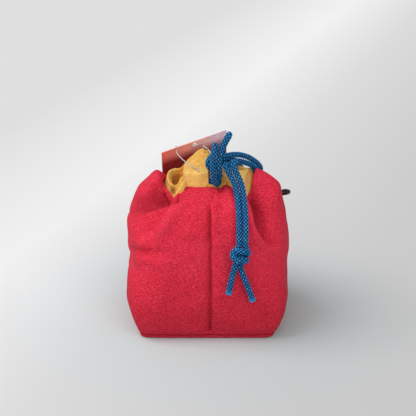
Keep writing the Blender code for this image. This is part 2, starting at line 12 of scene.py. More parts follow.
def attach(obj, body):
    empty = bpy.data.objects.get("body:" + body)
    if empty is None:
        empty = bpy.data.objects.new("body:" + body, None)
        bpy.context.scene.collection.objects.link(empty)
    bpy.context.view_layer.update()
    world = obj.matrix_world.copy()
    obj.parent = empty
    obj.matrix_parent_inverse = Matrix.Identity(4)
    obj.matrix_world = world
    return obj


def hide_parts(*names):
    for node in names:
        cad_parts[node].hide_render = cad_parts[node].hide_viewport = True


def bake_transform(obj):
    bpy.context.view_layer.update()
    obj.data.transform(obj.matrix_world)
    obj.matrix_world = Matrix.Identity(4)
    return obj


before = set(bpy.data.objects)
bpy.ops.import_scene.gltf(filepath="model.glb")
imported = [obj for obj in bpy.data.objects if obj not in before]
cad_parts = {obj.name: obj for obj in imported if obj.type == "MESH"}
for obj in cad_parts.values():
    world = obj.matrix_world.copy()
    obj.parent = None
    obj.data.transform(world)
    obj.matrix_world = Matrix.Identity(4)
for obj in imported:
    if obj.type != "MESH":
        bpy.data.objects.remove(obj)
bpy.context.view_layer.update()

mm = 0.001


def toLinear(code):
    parts = [int(code[i : i + 2], 16) / 255 for i in (1, 3, 5)]
    return (*[c / 12.92 if c <= 0.04045 else ((c + 0.055) / 1.055) ** 2.4 for c in parts], 1)


def addNode(tree, kind, inputs=None, output=0, stops=(), **settings):
    node = tree.nodes.new("ShaderNode" + kind)
    for key, value in settings.items():
        setattr(node, key, value)
    for key, value in (inputs or {}).items():
        if isinstance(value, bpy.types.NodeSocket):
            tree.links.new(value, node.inputs[key])
        else:
            node.inputs[key].default_value = toLinear(value) if isinstance(value, str) else value
    if stops:
        band = node.color_ramp.elements
        while len(band) < len(stops):
            band.new(0.5)
        for element, (place, code) in zip(band, stops):
            element.position = place
            element.color = toLinear(code)
    return node.outputs[output] if node.outputs else node


def startMaterial(name):
    made = bpy.data.materials.new(name)
    made.use_nodes = True
    made.node_tree.nodes.clear()
    return made, partial(addNode, made.node_tree)


def finishMaterial(made, values):
    shader = addNode(made.node_tree, "BsdfPrincipled", values)
    addNode(made.node_tree, "OutputMaterial", {"Surface": shader})
    return made


def placeObject(name, data):
    made = bpy.data.objects.new(name, data)
    bpy.context.scene.collection.objects.link(made)
    return made


def finishPiece(name, builder, look, body, nodes=(), smooth=True):
    mesh = bpy.data.meshes.new(name)
    builder.to_mesh(mesh)
    builder.free()
    if smooth:
        mesh.shade_smooth()
    made = placeObject(name, mesh)
    mesh.materials.append(look)
    if body:
        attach(made, body)
    if nodes:
        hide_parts(*nodes)
    return made


def mergeDoubles(builder):
    bmesh.ops.remove_doubles(builder, verts=builder.verts, dist=1e-6)
    bmesh.ops.recalc_face_normals(builder, faces=builder.faces)


def thicken(builder, thickness, sharp=55):
    # the cloth gets its thickness inwards, and its cut edges stay crisp
    builder.normal_update()
    inward = builder.verts.layers.float_vector.new("inward")
    for vert in builder.verts:
        vert[inward] = -vert.normal * thickness
    inside = bmesh.ops.extrude_face_region(builder, geom=list(builder.faces), use_keep_orig=True)
    for vert in inside["geom"]:
        if isinstance(vert, bmesh.types.BMVert):
            vert.co += vert[inward]
    builder.verts.layers.float_vector.remove(inward)
    bmesh.ops.recalc_face_normals(builder, faces=builder.faces)
    for edge in builder.edges:
        edge.smooth = len(edge.link_faces) != 2 or edge.calc_face_angle() < radians(sharp)
    return builder


# A grid of places becomes a mesh: create_grid makes the faces and the places bend it.
def gridMesh(places, shades=None):
    up, across = places.shape[0] - 1, places.shape[1] - 1
    builder = bmesh.new()
    bmesh.ops.create_grid(builder, x_segments=across, y_segments=up, size=0.5)
    uv = builder.loops.layers.uv.new("uv")
    colour = builder.verts.layers.float_color.new("shade")
    index = {}
    for vert in builder.verts:
        i, j = round((vert.co.x + 0.5) * across), round((vert.co.y + 0.5) * up)
        index[vert] = (i, j)
    for face in builder.faces:
        for loop in face.loops:
            i, j = index[loop.vert]
            loop[uv].uv = (i / across, j / up)
    for vert, (i, j) in index.items():
        vert.co = places[j, i]
        vert[colour] = shades[j][i] if shades is not None else (0, 0, 0, 1)
    return builder


def cubic(a, b, c, d, t):
    return 0.5 * (
        2 * b + (c - a) * t + (2 * a - 5 * b + 4 * c - d) * t**2 + (3 * b - a - 3 * c + d) * t**3
    )


print("camera")
shot = {
    "target": (0.0006, 0, 0.0725),
    "elevation": 20,
    "distance": 0.75,
    "lens": 102.5,
    "sensor": 36,
    "pixels": 416,
}
tilt = radians(shot["elevation"])
viewBack = (0, -cos(tilt), sin(tilt))
viewUp = (0, sin(tilt), cos(tilt))


def makeCamera():
    data = bpy.data.cameras.new("camera")
    data.lens = shot["lens"]
    data.sensor_width = shot["sensor"]
    data.clip_start = 0.01
    made = placeObject("camera", data)
    made.location = Vector(shot["target"]) + Vector(viewBack) * shot["distance"]
    made.rotation_euler = (pi / 2 - tilt, 0, 0)
    bpy.context.scene.camera = made


def inView(places):
    # where places lie in the picture, in pixels
    away = places - np.array(shot["target"]) - np.array(viewBack) * shot["distance"]
    scale = shot["pixels"] * shot["lens"] / shot["sensor"] / -(away @ viewBack)
    middle = shot["pixels"] / 2
    return np.stack([middle + away[..., 0] * scale, middle - away @ viewUp * scale], axis=-1)


makeCamera()

print("drawstring")
# Braided polyester cord, satin: each yarn gets a painted highlight along its top, and the gaps between yarns
# get painted shade, nearly black.
drawstring = {
    "diameter": 3.4 * mm,
    "crest": 1.14,  # how far the yarns' tops stand out, as a share of the radius
    "yarns": 5,  # yarns of each hand round the cord
    "yarnPitch": 2.3 * mm,  # coarser than the real braid, so that it shows
    "yarnHeight": 0.28,  # share of the radius
    "ringStep": 0.2 * mm,
    "sides": 48,
    "gap": "#001226",
    "yarn": "#007abc",
    "shine": "#46b2e2",
    "tip": "#1d90cc",
    "flare": 0.14,  # how much a cut end spreads, and over what length
    "flareRun": 2.2 * mm,
    "wornRun": 2.8 * mm,
}


def inMetres(route):
    return [tuple(c * mm for c in place) for place in route]


# The cord's routes are the model's own, given in mm.
leftRoute = inMetres((
    (9.3, -13.9, 94.4), (8.1, -14.2, 94.4), (6.9, -15.0, 94.4), (6.3, -16.6, 94.5),
    (6.1, -18.7, 94.8), (6.0, -21.2, 95.8), (4.8, -24.2, 98.3), (4.0, -26.6, 102.1),
    (3.7, -27.8, 106.0), (3.5, -28.2, 110.2), (3.7, -28.4, 114.4), (4.1, -28.0, 118.0),
    (4.7, -26.8, 120.9), (5.0, -24.2, 121.2), (5.1, -21.6, 119.6), (4.7, -20.2, 116.5),
    (3.6, -20.0, 113.5), (1.9, -21.3, 112.2), (0.8, -22.8, 110.6), (0.8, -23.2, 108.3),
    (2.2, -22.2, 106.2), (4.4, -20.6, 105.7), (6.3, -19.2, 106.9), (8.6, -18.4, 109.0),
    (11.1, -17.6, 112.1), (13.9, -15.2, 112.3), (16.6, -12.2, 111.7), (19.8, -8.6, 110.5),
    (23.0, -5.0, 108.7), (26.2, -1.4, 106.4), (29.2, 2.0, 103.5), (31.7, 5.6, 100.3),
    (33.5, 9.4, 96.7), (33.7, 14.0, 92.9), (30.9, 17.6, 90.9), (26.6, 18.6, 91.3),
    (21.8, 18.2, 92.1), (16.2, 15.8, 97.4), (13.2, 12.2, 101.2), (11.5, 8.0, 104.2),
    (11.0, 3.5, 105.4), (10.8, -3.0, 105.7), (10.9, -9.0, 105.0), (11.5, -14.0, 104.7),
    (12.3, -17.8, 105.3), (12.3, -21.2, 107.6), (11.7, -24.2, 109.0), (11.4, -27.2, 109.3),
    (12.4, -28.6, 107.1), (14.1, -29.4, 103.8), (16.6, -30.8, 99.1), (17.9, -33.4, 94.2),
    (18.6, -37.4, 89.3), (19.0, -41.0, 84.2), (19.2, -44.0, 79.0), (19.2, -46.8, 74.3),
    (19.2, -48.4, 69.8), (19.1, -49.6, 66.5), (17.6, -51.8, 65.1), (15.7, -53.4, 63.8),
    (15.3, -54.6, 61.7), (17.1, -55.4, 60.1), (19.9, -55.4, 59.6), (22.5, -53.8, 59.3),
    (23.5, -50.8, 57.8), (22.3, -48.0, 55.8), (20.6, -46.9, 53.9), (20.2, -47.5, 51.8),
    (21.4, -48.8, 48.0), (23.9, -48.8, 41.5), (26.1, -48.8, 35.5), (27.7, -48.8, 30.4),
))
rightRoute = inMetres((
    (-1.0, -15.1, 94.4), (0.2, -15.1, 94.4), (1.5, -15.5, 94.8), (2.6, -16.3, 96.2),
    (3.4, -17.0, 97.6), (4.6, -17.8, 98.6), (6.6, -19.6, 99.7), (7.4, -22.2, 101.1),
    (7.7, -24.8, 103.1), (7.4, -26.4, 107.1), (7.2, -26.2, 111.1), (7.6, -25.0, 114.8),
    (8.8, -23.6, 118.8), (10.7, -22.0, 122.7), (12.6, -19.8, 125.9), (13.5, -17.2, 126.1),
    (13.2, -14.6, 123.8), (11.2, -13.2, 119.6), (9.6, -12.2, 115.3), (9.5, -11.4, 111.3),
    (11.3, -11.8, 108.8), (14.1, -13.2, 108.4), (17.2, -12.0, 107.8), (20.5, -9.4, 106.5),
    (24.1, -6.2, 104.5), (27.6, -2.8, 102.0), (29.7, 0.0, 99.5), (31.0, 3.6, 96.9),
    (30.3, 7.6, 94.9), (27.5, 10.8, 94.0), (23.9, 12.4, 93.5), (19.4, 11.8, 98.0),
    (16.8, 8.8, 101.6), (15.6, 4.0, 104.0), (15.2, -0.4, 104.4), (15.4, -5.0, 103.9),
    (15.6, -10.0, 104.0), (16.4, -14.2, 104.8), (17.2, -18.2, 106.4), (17.0, -21.2, 109.0),
    (16.3, -24.0, 110.8), (15.1, -27.0, 110.7), (16.6, -28.6, 107.6), (18.4, -29.4, 104.0),
    (20.5, -30.8, 99.3), (21.7, -33.4, 94.2), (22.4, -37.4, 89.3), (22.8, -41.0, 84.2),
    (23.0, -44.0, 79.0), (23.0, -46.8, 74.3), (22.9, -48.4, 69.8), (22.8, -49.4, 66.7),
    (23.5, -50.2, 64.8), (22.6, -50.8, 63.0), (20.6, -50.0, 61.6), (18.8, -49.2, 59.8),
    (17.6, -49.4, 57.4), (17.1, -49.8, 55.0), (16.4, -49.4, 51.5), (15.3, -48.8, 46.7),
    (14.1, -48.8, 40.8), (13.1, -48.8, 34.9),
))


def fineLine(route, steps=12):
    points = [Vector(p) for p in route]
    ends = [2 * points[0] - points[1]] + points + [2 * points[-1] - points[-2]]
    line = []
    for a, b, c, d in zip(ends, ends[1:], ends[2:], ends[3:]):
        line += [cubic(a, b, c, d, i / steps) for i in range(steps)]
    line.append(points[-1])
    lengths = [0.0]
    for p, q in zip(line, line[1:]):
        lengths.append(lengths[-1] + (q - p).length)
    return line, lengths


def evenPlaces(route, count=None, step=None):
    # places at even steps along the smooth line through the route, and its length
    line, lengths = fineLine(route)
    count = count or ceil(lengths[-1] / step)
    places = []
    for k in range(count + 1):
        length = lengths[-1] * k / count
        index = min(max(bisect(lengths, length) - 1, 0), len(line) - 2)
        span = max(lengths[index + 1] - lengths[index], 1e-9)
        places.append(line[index].lerp(line[index + 1], (length - lengths[index]) / span))
    return places, lengths[-1]


def carriedFrames(places):
    frames = []
    side = None
    for before, after in zip([places[0]] + places, places[1:] + [places[-1]]):
        ahead = (after - before).normalized()
        if side is None:
            side = ahead.orthogonal().normalized()
        side = (side - ahead * side.dot(ahead)).normalized()
        frames.append((ahead, side, ahead.cross(side)))
    return frames


def cordMaterial(name, size):
    # the shade layer holds the yarns' height, which paints shade into the gaps, their painted highlight and
    # how much wear the tip shows
    made, add = startMaterial(name)
    shade = add("VertexColor", layer_name="shade")
    height, sheen, wearAndHighlight = add("SeparateColor", {0: shade}).node.outputs
    stops = [(0.3, size["gap"]), (0.7, size["yarn"]), (0.97, size["yarn"])]
    colour = add("ValToRGB", {"Fac": height}, stops=stops)
    glint = add("ValToRGB", {"Fac": sheen}, stops=[(0.6, "#000000"), (0.95, "#ffffff")])
    for share, tint in ((glint, "shine"), (wearAndHighlight, "tip")):
        colour = add("Mix", {0: share, 6: colour, 7: size[tint]}, 2, data_type="RGBA")
    return finishMaterial(made, {"Base Color": colour, "Roughness": 0.42, "Specular IOR Level": 0.22})


cordLook = cordMaterial("satin braided polyester", drawstring)


def braidedCord(
    name, route, body, nodes=(), cutEnd=False, size=drawstring, look=cordLook, girth=None
):
    # every place round the cord rises where a yarn of either hand crosses over
    places, length = evenPlaces(route, step=size["ringStep"])
    sides = size["sides"]
    rings, shades = [], []
    for k, (place, (ahead, side, up)) in enumerate(zip(places, carriedFrames(places))):
        share = k / (len(places) - 1)
        along = share * length
        fromTip = length - along if cutEnd else 1.0
        flare = 1 + size["flare"] * max(0.0, 1 - fromTip / size["flareRun"])
        flare = girth(share) if girth else flare
        wearAndHighlight = max(0.0, 1 - fromTip / size["wornRun"]) * 0.8
        ring, shade = [], []
        for i in range(sides + 1):
            turn = (i % sides) / sides
            one = turn * size["yarns"] + along / size["yarnPitch"]
            two = turn * size["yarns"] - along / size["yarnPitch"]
            i1, i2 = floor(one), floor(two)
            f1, f2 = one - i1, two - i2
            if (i1 + i2) % 2:
                f1, f2 = f2, f1
            height = sin(pi * f1) ** 1.3 * sin(pi * f2) ** 0.55
            angle = 2 * pi * turn
            reach = size["diameter"] / 2 * flare * (size["crest"] - size["yarnHeight"] * (1 - height))
            ring.append(tuple(place + (side * cos(angle) + up * sin(angle)) * reach))
            # painted highlight on the yarns' tops, brighter on some yarns than on others
            streak = 0.7 + 0.8 * noise.noise(Vector((i1 * 1.7 + 0.3, i2 * 2.3 + 0.6, 0.4)))
            shade.append((height, streak * height**1.5, wearAndHighlight, 1))
        rings.append(ring)
        shades.append(shade)
    for end in (0, -1):  # both ends are closed
        cap = [tuple(places[end].lerp(Vector(p), 0.55)) for p in rings[end]]
        point = [tuple(places[end])] * len(cap)
        rings = rings + [cap, point] if end else [point, cap] + rings
        shades = shades + [shades[-1]] * 2 if end else [shades[0]] * 2 + shades
    builder = gridMesh(np.array(rings), shades)
    mergeDoubles(builder)
    return finishPiece(name, builder, look, body, nodes), places, length


# The knot's upper wrap goes round both tails; its ends are tucked in.
knotRoute = inMetres((
    (17.6, -49.2, 62.2), (16.6, -51.0, 63.2), (17.2, -53.2, 64.1), (19.3, -54.2, 64.6),
    (21.7, -53.9, 64.5), (23.8, -52.6, 63.7), (24.6, -50.6, 62.4), (23.6, -48.9, 60.8),
    (21.6, -48.4, 59.8),
))
knotWrap = braidedCord("knotWrap", knotRoute, "tails")[0]

for name, route, nodes in (
    ("leftCord", leftRoute, ("drawstring_left_bow", "drawstring_left_tail")),
    ("rightCord", rightRoute, ("drawstring_right_bow", "drawstring_right_tail")),
):
    piece, places, length = braidedCord(name, route, None, nodes, cutEnd=True)
    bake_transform(piece)
    print(name, "length in mm", round(length / mm, 1))

print("walls")
# The pouch's padded walls follow the pleat lines of the model: the belly's angle, the collar
# seam's x, y and z as shares, the shoulder's fullness and its roll above the seam.
pouch = {
    "bellyWidth": 50.3 * mm,
    "bellyDepth": 45.5 * mm,
    "baseWidth": 42.5 * mm,
    "baseDepth": 38.5 * mm,
    "shoulder": 98 * mm,
    "belly": 26 * mm,
    "arcStart": 50 * mm,
    "bellySquareness": 2.9,
    "baseSquareness": 14.0,
    "edge": 2.4 * mm,
    "cloth": 1.2 * mm,
    "seamDepth": 2.4 * mm,
    "columns": 16,  # for each pleat line
    "rows": 110,
    "waves": ((19, 0.75), (8, 0.3)),  # soft unevenness: wave lengths and heights in mm
    "calmStep": 1.5 * mm,  # the most that an inner layer moves in one step
    "hollowPush": 5 * mm,  # a fold this far in gets the full painted shade
    "highlightPush": 4 * mm,  # and a ridge that stands out so far gets the full painted highlight
    "highlightHeight": 57 * mm,  # a band of painted highlight lies round this height
    "highlightSpread": 12 * mm,
    "shadeHeight": 18 * mm,  # and gets painted shade round this one, near the base
    "shadeSpread": 20 * mm,
}
pleats = (
    (272.8, 0.044, -0.422, 0.951, 2.6, 0.0),  # front seam
    (283, 0.155, -0.418, 0.944, 2.4, 0.0),
    (292, 0.227, -0.424, 0.967, 2.5, 0.0),  # small tuck in the front
    (303, 0.324, -0.440, 0.939, 2.6, 0.0),
    (316, 0.467, -0.505, 0.901, 1.3, 0.0),  # front right valley
    (330, 0.537, -0.308, 0.918, 2.2, 0.03),
    (352, 0.583, -0.088, 0.940, 2.5, 0.075),  # right lobe
    (15, 0.557, 0.110, 0.928, 2.1, 0.0),
    (40, 0.457, 0.300, 0.898, 1.5, 0.0),  # back right valley
    (64, 0.239, 0.198, 0.929, 2.4, 0.0),
    (90, 0.0, 0.198, 0.931, 2.6, 0.0),  # back seam
    (116, -0.199, 0.198, 0.929, 2.4, 0.0),
    (140, -0.398, 0.300, 0.893, 1.5, 0.0),  # back left valley
    (160, -0.477, 0.121, 0.925, 2.2, 0.04),
    (180, -0.533, -0.022, 0.935, 2.1, 0.07),  # left lobe
    (198, -0.527, -0.176, 0.930, 2.1, 0.055),
    (214, -0.467, -0.363, 0.910, 2.1, 0.015),
    (228, -0.376, -0.530, 0.885, 1.3, 0.0),  # front left valley
    (240, -0.282, -0.431, 0.949, 2.5, 0.0),
    (256, -0.119, -0.426, 0.951, 2.7, 0.0),
)
# The collar's rim at the same stations: x, y and z as shares, and how far its channel droops.
rims = (
    (0.040, -0.402, 1.056, 0.000), (0.150, -0.391, 1.041, 0.000), (0.235, -0.365, 1.041, 0.000),
    (0.330, -0.321, 1.045, 0.000), (0.423, -0.264, 1.041, 0.004), (0.493, -0.189, 1.034, 0.008),
    (0.541, -0.070, 1.026, 0.010), (0.521, 0.066, 1.012, 0.012), (0.408, 0.149, 1.014, 0.012),
    (0.229, 0.160, 1.043, 0.006), (-0.030, 0.143, 1.124, 0.000), (-0.195, 0.134, 1.078, 0.004),
    (-0.328, 0.121, 1.003, 0.010), (-0.421, 0.079, 1.000, 0.014), (-0.489, -0.033, 1.003, 0.016),
    (-0.509, -0.176, 0.996, 0.018), (-0.469, -0.308, 0.986, 0.024), (-0.372, -0.390, 0.982, 0.026),
    (-0.284, -0.403, 1.052, 0.010), (-0.119, -0.407, 1.059, 0.000),
)


def tableRow(table, station):
    first = int(station // 1)
    rows = [table[(first + step) % len(table)] for step in (-1, 0, 1, 2)]
    return [cubic(*values, station - first) for values in zip(*rows)]


def bellyAngle(station):
    first = int(station // 1)
    angles = []
    for step in (-1, 0, 1, 2):
        turns, index = divmod(first + step, len(pleats))
        angle = pleats[index][0]
        angles.append((angle if angle >= pleats[0][0] else angle + 360) + 360 * turns)
    return radians(cubic(*angles, station - first))


def roundedOutline(angle, width, depth, squareness):
    reach = (abs(cos(angle) / width) ** squareness + abs(sin(angle) / depth) ** squareness) ** (
        -1 / squareness
    )
    return Vector((reach * cos(angle), reach * sin(angle), 0))


def lowerWall(station, height):
    p = pouch
    rise = min(max((height - p["edge"]) / (p["belly"] - p["edge"]), 0), 1)
    swell = (1 - (1 - rise) ** 2) ** 0.8
    width = p["baseWidth"] + (p["bellyWidth"] - p["baseWidth"]) * swell
    depth = p["baseDepth"] + (p["bellyDepth"] - p["baseDepth"]) * swell
    fade = (1 - height / p["arcStart"]) ** 2
    squareness = p["bellySquareness"] + (p["baseSquareness"] - p["bellySquareness"]) * fade
    place = roundedOutline(bellyAngle(station), width, depth, squareness)
    place.z = height
    return place


def fromShares(x, y, z):
    return Vector((x * pouch["bellyWidth"], y * pouch["bellyDepth"], z * pouch["shoulder"]))


def seamPlace(station):
    return fromShares(*tableRow(pleats, station)[1:4])


def rimPlace(station):
    return fromShares(*tableRow(rims, station)[:3])


def wallPlace(station, level):
    p = pouch
    if level <= 1:
        return lowerWall(station, p["edge"] + (p["arcStart"] - p["edge"]) * level)
    fullness, roll = tableRow(pleats, station)[4:]
    low = lowerWall(station, p["arcStart"])
    high = seamPlace(station)
    turn = level - 1
    angle = turn * pi / 2
    outward = max(cos(angle), 0) ** (2 / fullness) if turn < 1 else 0
    upward = sin(angle) ** (2 / fullness)
    place = high.lerp(low, outward)
    rolled = roll * p["shoulder"]
    place.z = low.z + (high.z + rolled - low.z) * upward - rolled * turn**24
    return place


def unit(vectors):
    return vectors / np.maximum(np.linalg.norm(vectors, axis=2, keepdims=True), 1e-12)


def wallNormals(places):
    around = np.roll(places, -1, axis=1) - np.roll(places, 1, axis=1)
    return unit(np.cross(around, np.gradient(places, axis=0)))


def roughness(places, waves):
    # a soft unevenness at each place, from waves of a length and a height in mm
    return np.array(
        [[sum(noise.noise(Vector(p) / (w * mm)) * h * mm for w, h in waves) for p in row] for row in places]
    )


# Folds seen from the front are lines in the camera's view, in pixels of 416, and press the wall in
# along its normal. Each row: the depth in mm, where a negative one lifts a ridge, the widths in
# pixels on the left and on the right of the line's run, and the line.
frontFolds = (
    # the hollow under the left shoulder
    (7.5, 9.0, 3.8, (180, 198), (172, 199.5), (163, 201.5), (152, 205), (138, 210)),
    (4.6, 6.0, 9.0, (164, 188), (153, 193), (143, 200), (133, 208)),
    # the puffed roll of the left shoulder above it
    (-1.6, 6.0, 4.5, (169, 174), (158, 179), (147, 185), (136, 194)),
    # the ridge that runs down from it to the left side, and the crease at the waist
    (-2.4, 5.0, 6.0, (181, 200), (173, 213), (165, 226), (156, 236), (143, 245)),
    (2.2, 4.5, 5.0, (163, 253), (150, 251.5), (140, 250), (128, 249)),
    # the deep fold at the right, with the front panel's edge beside it
    (7.2, 1.9, 7.5, (245.5, 186), (248.5, 198), (252, 211), (256, 226), (259, 234)),
    (2.6, 1.8, 3.6, (254, 218), (257.5, 230), (263, 239), (274, 246.5)),
    (-2.8, 4.5, 2.2, (240, 188), (244, 198), (248, 211), (252, 225), (257.5, 239), (267, 249.5), (278, 249)),
    # the tuck beside the slot
    (0.9, 1.2, 1.4, (220.5, 186), (219, 193)),
    (-0.8, 3.0, 3.0, (226, 184), (229, 196), (232, 214)),
    (0.5, 3.0, 2.0, (214.5, 189), (214, 198), (213, 208)),
    # soft unevenness lower down
    (-0.6, 4.0, 4.0, (141, 330), (149, 321), (158, 312)),
    (0.7, 9.0, 9.0, (262, 318), (250, 296), (246, 268)),
    (0.6, 9.0, 9.0, (168, 318), (172, 290), (178, 262)),
)
# Folds at the back, in the same order, with widths and lines in mm.
backFolds = (
    (3.0, 3.0, 6.5, (21, 14, 89), (26, 24, 81), (31, 34, 69), (35, 38, 58)),
    (3.0, 6.5, 3.0, (-18, 14, 89), (-24, 24, 81), (-30, 34, 68), (-36, 37, 56)),
    (1.2, 4.0, 4.0, (-7, 11, 91), (-9, 24, 85), (-12, 36, 72)),
    (1.0, 4.0, 4.0, (9, 11, 91), (11, 24, 85), (13, 36, 72)),
)


def pressFold(places, fold, sideOf, scale=1):
    depth, left, right = fold[:3]
    line = np.array(fold[3:], float) * scale
    nearest = np.full(places.shape[:2], 1e9)
    signed = np.zeros(places.shape[:2])
    share = np.zeros(places.shape[:2])
    for k, (a, b) in enumerate(zip(line, line[1:])):
        run = b - a
        t = np.clip(((places - a) @ run) / (run @ run), 0, 1)
        away = places - (a + t[..., None] * run)
        distance = np.linalg.norm(away, axis=2)
        closer = distance < nearest
        nearest = np.where(closer, distance, nearest)
        signed = np.where(closer, distance * sideOf(run, away), signed)
        share = np.where(closer, (k + t) / (len(line) - 1), share)
    width = np.where(signed > 0, left, right) * scale
    fade = np.sin(np.pi * np.clip(share, 0.06, 0.94)) ** 0.6
    return -depth * mm * np.exp(-((signed / width) ** 2)) * fade


def foldPush(places, normals):
    def sideInView(run, away):
        return np.sign(run[0] * away[..., 1] - run[1] * away[..., 0])

    def sideOnWall(run, away):
        return np.sign(np.sum(np.cross(run, away) * normals, axis=2))

    facing = np.clip((normals @ viewBack - 0.02) / 0.25, 0, 1) * (places[..., 1] < 5 * mm)
    push = np.zeros(places.shape[:2])
    for fold in frontFolds:
        push += pressFold(inView(places), fold, sideInView) * facing
    for fold in backFolds:
        push += pressFold(places, fold, sideOnWall, mm)
    return push


# Places where the wall is moved: station, level, their spreads, and the move in mm.
swells = (
    (14.6, 1.90, 1.3, 0.07, (-0.6, -0.4, 1.0)),  # the left shoulder leans on the collar
    (15.9, 1.90, 0.6, 0.07, (1.0, 0.8, 1.6)),
    (14.8, 1.66, 1.6, 0.09, (1.9, 0, 0)),
    (15.0, 1.27, 1.6, 0.10, (-1.6, -0.4, 0)),
    (15.0, 0.88, 1.6, 0.11, (2.6, 0, 0)),  # the pinch at the left
    (15.0, 0.18, 2.0, 0.22, (1.9, 0, 0)),
    (6.0, 1.58, 1.4, 0.12, (1.8, 0, 0)),
    (6.0, 1.05, 1.6, 0.30, (1.2, 0, 0)),
    (6.0, 0.20, 1.6, 0.18, (-0.9, 0, 0)),
    (5.3, 1.93, 0.8, 0.06, (-1.8, 1.2, 2.2)),  # the right shoulder beside the collar
    (6.3, 1.92, 0.8, 0.07, (-2.2, 0, 1.2)),
    (16.6, 1.22, 0.7, 0.12, (-0.8, -0.9, 0)),  # the bright bulge at the left
)


def evenLevels(count):
    # levels that lie at even heights up the wall, closer near its seam
    fine = np.unique(np.concatenate([np.linspace(0, 1.9, 150), 2 - 0.1 * np.linspace(1, 0, 60)[1:] ** 1.5]))
    some = np.array([[tuple(wallPlace(s, level)) for s in range(20)] for level in fine])
    steps = np.linalg.norm(np.diff(some, axis=0), axis=2).mean(axis=1)
    run = np.concatenate([[0], np.cumsum(steps)])
    return np.interp(np.linspace(0, run[-1], count), run, fine)


def wallPlaces():
    p = pouch
    columns = p["columns"] * len(pleats)
    stations = np.arange(columns) * len(pleats) / columns
    levels = evenLevels(p["rows"] + 1)
    places = np.array([[tuple(wallPlace(s, level)) for s in stations] for level in levels])
    normals = wallNormals(places)
    # the seams at the foot and at the collar stay where they are
    settle = np.clip((2 - levels) / 0.02, 0, 1) * np.clip(levels / 0.08, 0, 1)
    hold = settle[:, None]
    push = foldPush(places, normals) * hold
    places = places + normals * push[..., None]
    for station, level, spread, rise, move in swells:
        away = (stations[None, :] - station + 10) % 20 - 10
        share = np.exp(-((away / spread) ** 2) - ((levels[:, None] - level) / rise) ** 2)
        places = places + (share * hold)[..., None] * np.array(move) * mm
    rough = roughness(places, p["waves"]) * hold
    places = places + wallNormals(places) * rough[..., None]
    # painted shade in the folds, by how far they are pressed in
    hollow = np.clip(-push / p["hollowPush"], 0, 1)
    # painted highlight in a band round the belly and on the ridges
    wearAndHighlight = 0.35 * np.exp(-(((places[..., 2] - p["highlightHeight"]) / p["highlightSpread"]) ** 2)) * (1 - hollow)
    wearAndHighlight = np.clip(wearAndHighlight + push / p["highlightPush"], 0, 1)
    return places, stations, levels, settle, hollow, wearAndHighlight


# The cloth is settled on its padding: a coarser copy swells under a light pressure with its
# edges held, and the fine wall takes over how far each place moved.
padding = {
    "mostMove": 0.9 * mm,
    "frames": 20,
    "coarser": 2,
    "cloth": {
        "quality": 5,
        "mass": 0.2,
        "tension_stiffness": 12,
        "compression_stiffness": 12,
        "shear_stiffness": 6,
        "bending_stiffness": 2.0,
        "use_pressure": True,
        "uniform_pressure_force": 0.8,
        "shrink_min": -0.007,
        "vertex_group_mass": "held",
        "pin_stiffness": 1.5,
    },
}


def stretched(rows, count):
    # as many rows as asked for, read between those given
    at = np.arange(count) / padding["coarser"]
    low = np.minimum(at.astype(int), len(rows) - 2)
    share = (at - low)[:, None, None]
    return rows[low] * (1 - share) + rows[low + 1] * share


def settleCloth(places, settle):
    step = padding["coarser"]
    coarse = places[::step, ::step]
    builder = gridMesh(wrapped(coarse))
    mergeDoubles(builder)
    trial = finishPiece("clothTrial", builder, redLook, None)
    start = np.array([v.co for v in trial.data.vertices])
    keys = {tuple(np.round(p, 7)): n for n, p in enumerate(start)}
    near = np.round(coarse.astype(np.float32).astype(float), 7)
    order = np.array([[keys[tuple(p)] for p in row] for row in near])
    held = trial.vertex_groups.new(name="held")
    for row, hold in zip(order, settle[::step]):
        held.add([int(n) for n in row], float(1 - 0.85 * hold), "REPLACE")
    cloth = trial.modifiers.new("cloth", "CLOTH")
    for key, value in padding["cloth"].items():
        setattr(cloth.settings, key, value)
    cloth.settings.effector_weights.gravity = 0
    cloth.collision_settings.use_collision = False
    cloth.point_cache.frame_start = 1
    cloth.point_cache.frame_end = padding["frames"]
    for frameNumber in range(1, padding["frames"] + 1):
        bpy.context.scene.frame_set(frameNumber)
    graph = bpy.context.evaluated_depsgraph_get()
    moved = np.array([v.co for v in trial.evaluated_get(graph).data.vertices]) - start
    bpy.data.objects.remove(trial)
    bpy.context.scene.frame_set(1)
    length = np.linalg.norm(moved, axis=1, keepdims=True)
    moved *= np.minimum(1, padding["mostMove"] / np.maximum(length, 1e-9))
    print("  cloth moved, in mm: most", round(length.max() / mm, 2), "mean", round(length.mean() / mm, 2))
    shift = wrapped(smoothed(moved[order], 2)).transpose(1, 0, 2)
    shift = stretched(stretched(shift, places.shape[1]).transpose(1, 0, 2), places.shape[0])
    return places + shift * settle[:, None, None]


def runAlong(places, axis):
    # how far each place lies along the grid from the first row or column
    steps = np.linalg.norm(np.diff(places, axis=axis), axis=2)
    return np.insert(np.cumsum(steps, axis=axis), 0, 0, axis=axis)


def rollSeams(part, normals, levels, seams):
    # the edges of a panel turn in at its seams: a width at the first and at the last column
    fade = np.clip((seams["top"] - levels) / 0.2, 0, 1)[:, None]
    fromFirst = runAlong(part, 1)
    fromLast = fromFirst[:, -1:] - fromFirst
    depth = np.exp(-((fromFirst / seams["first"]) ** 1.4)) + np.exp(-((fromLast / seams["last"]) ** 1.4))
    depth = depth * fade * np.clip(levels / 0.06, 0.2, 1)[:, None]
    depth = np.maximum(depth, 0.04 * np.exp(-((runAlong(part, 0) / (0.9 * mm)) ** 1.5)))
    return part - normals * (depth * pouch["seamDepth"])[..., None], depth


def smoothed(places, times):
    for _ in range(times):
        around = (np.roll(places, 1, axis=1) + np.roll(places, -1, axis=1)) / 2
        upward = places.copy()
        upward[1:-1] = (places[2:] + places[:-2]) / 2
        places = 0.3 * places + 0.35 * around + 0.35 * upward
    return places


def wrapped(grid):
    return np.concatenate([grid, grid[:, :1]], axis=1)


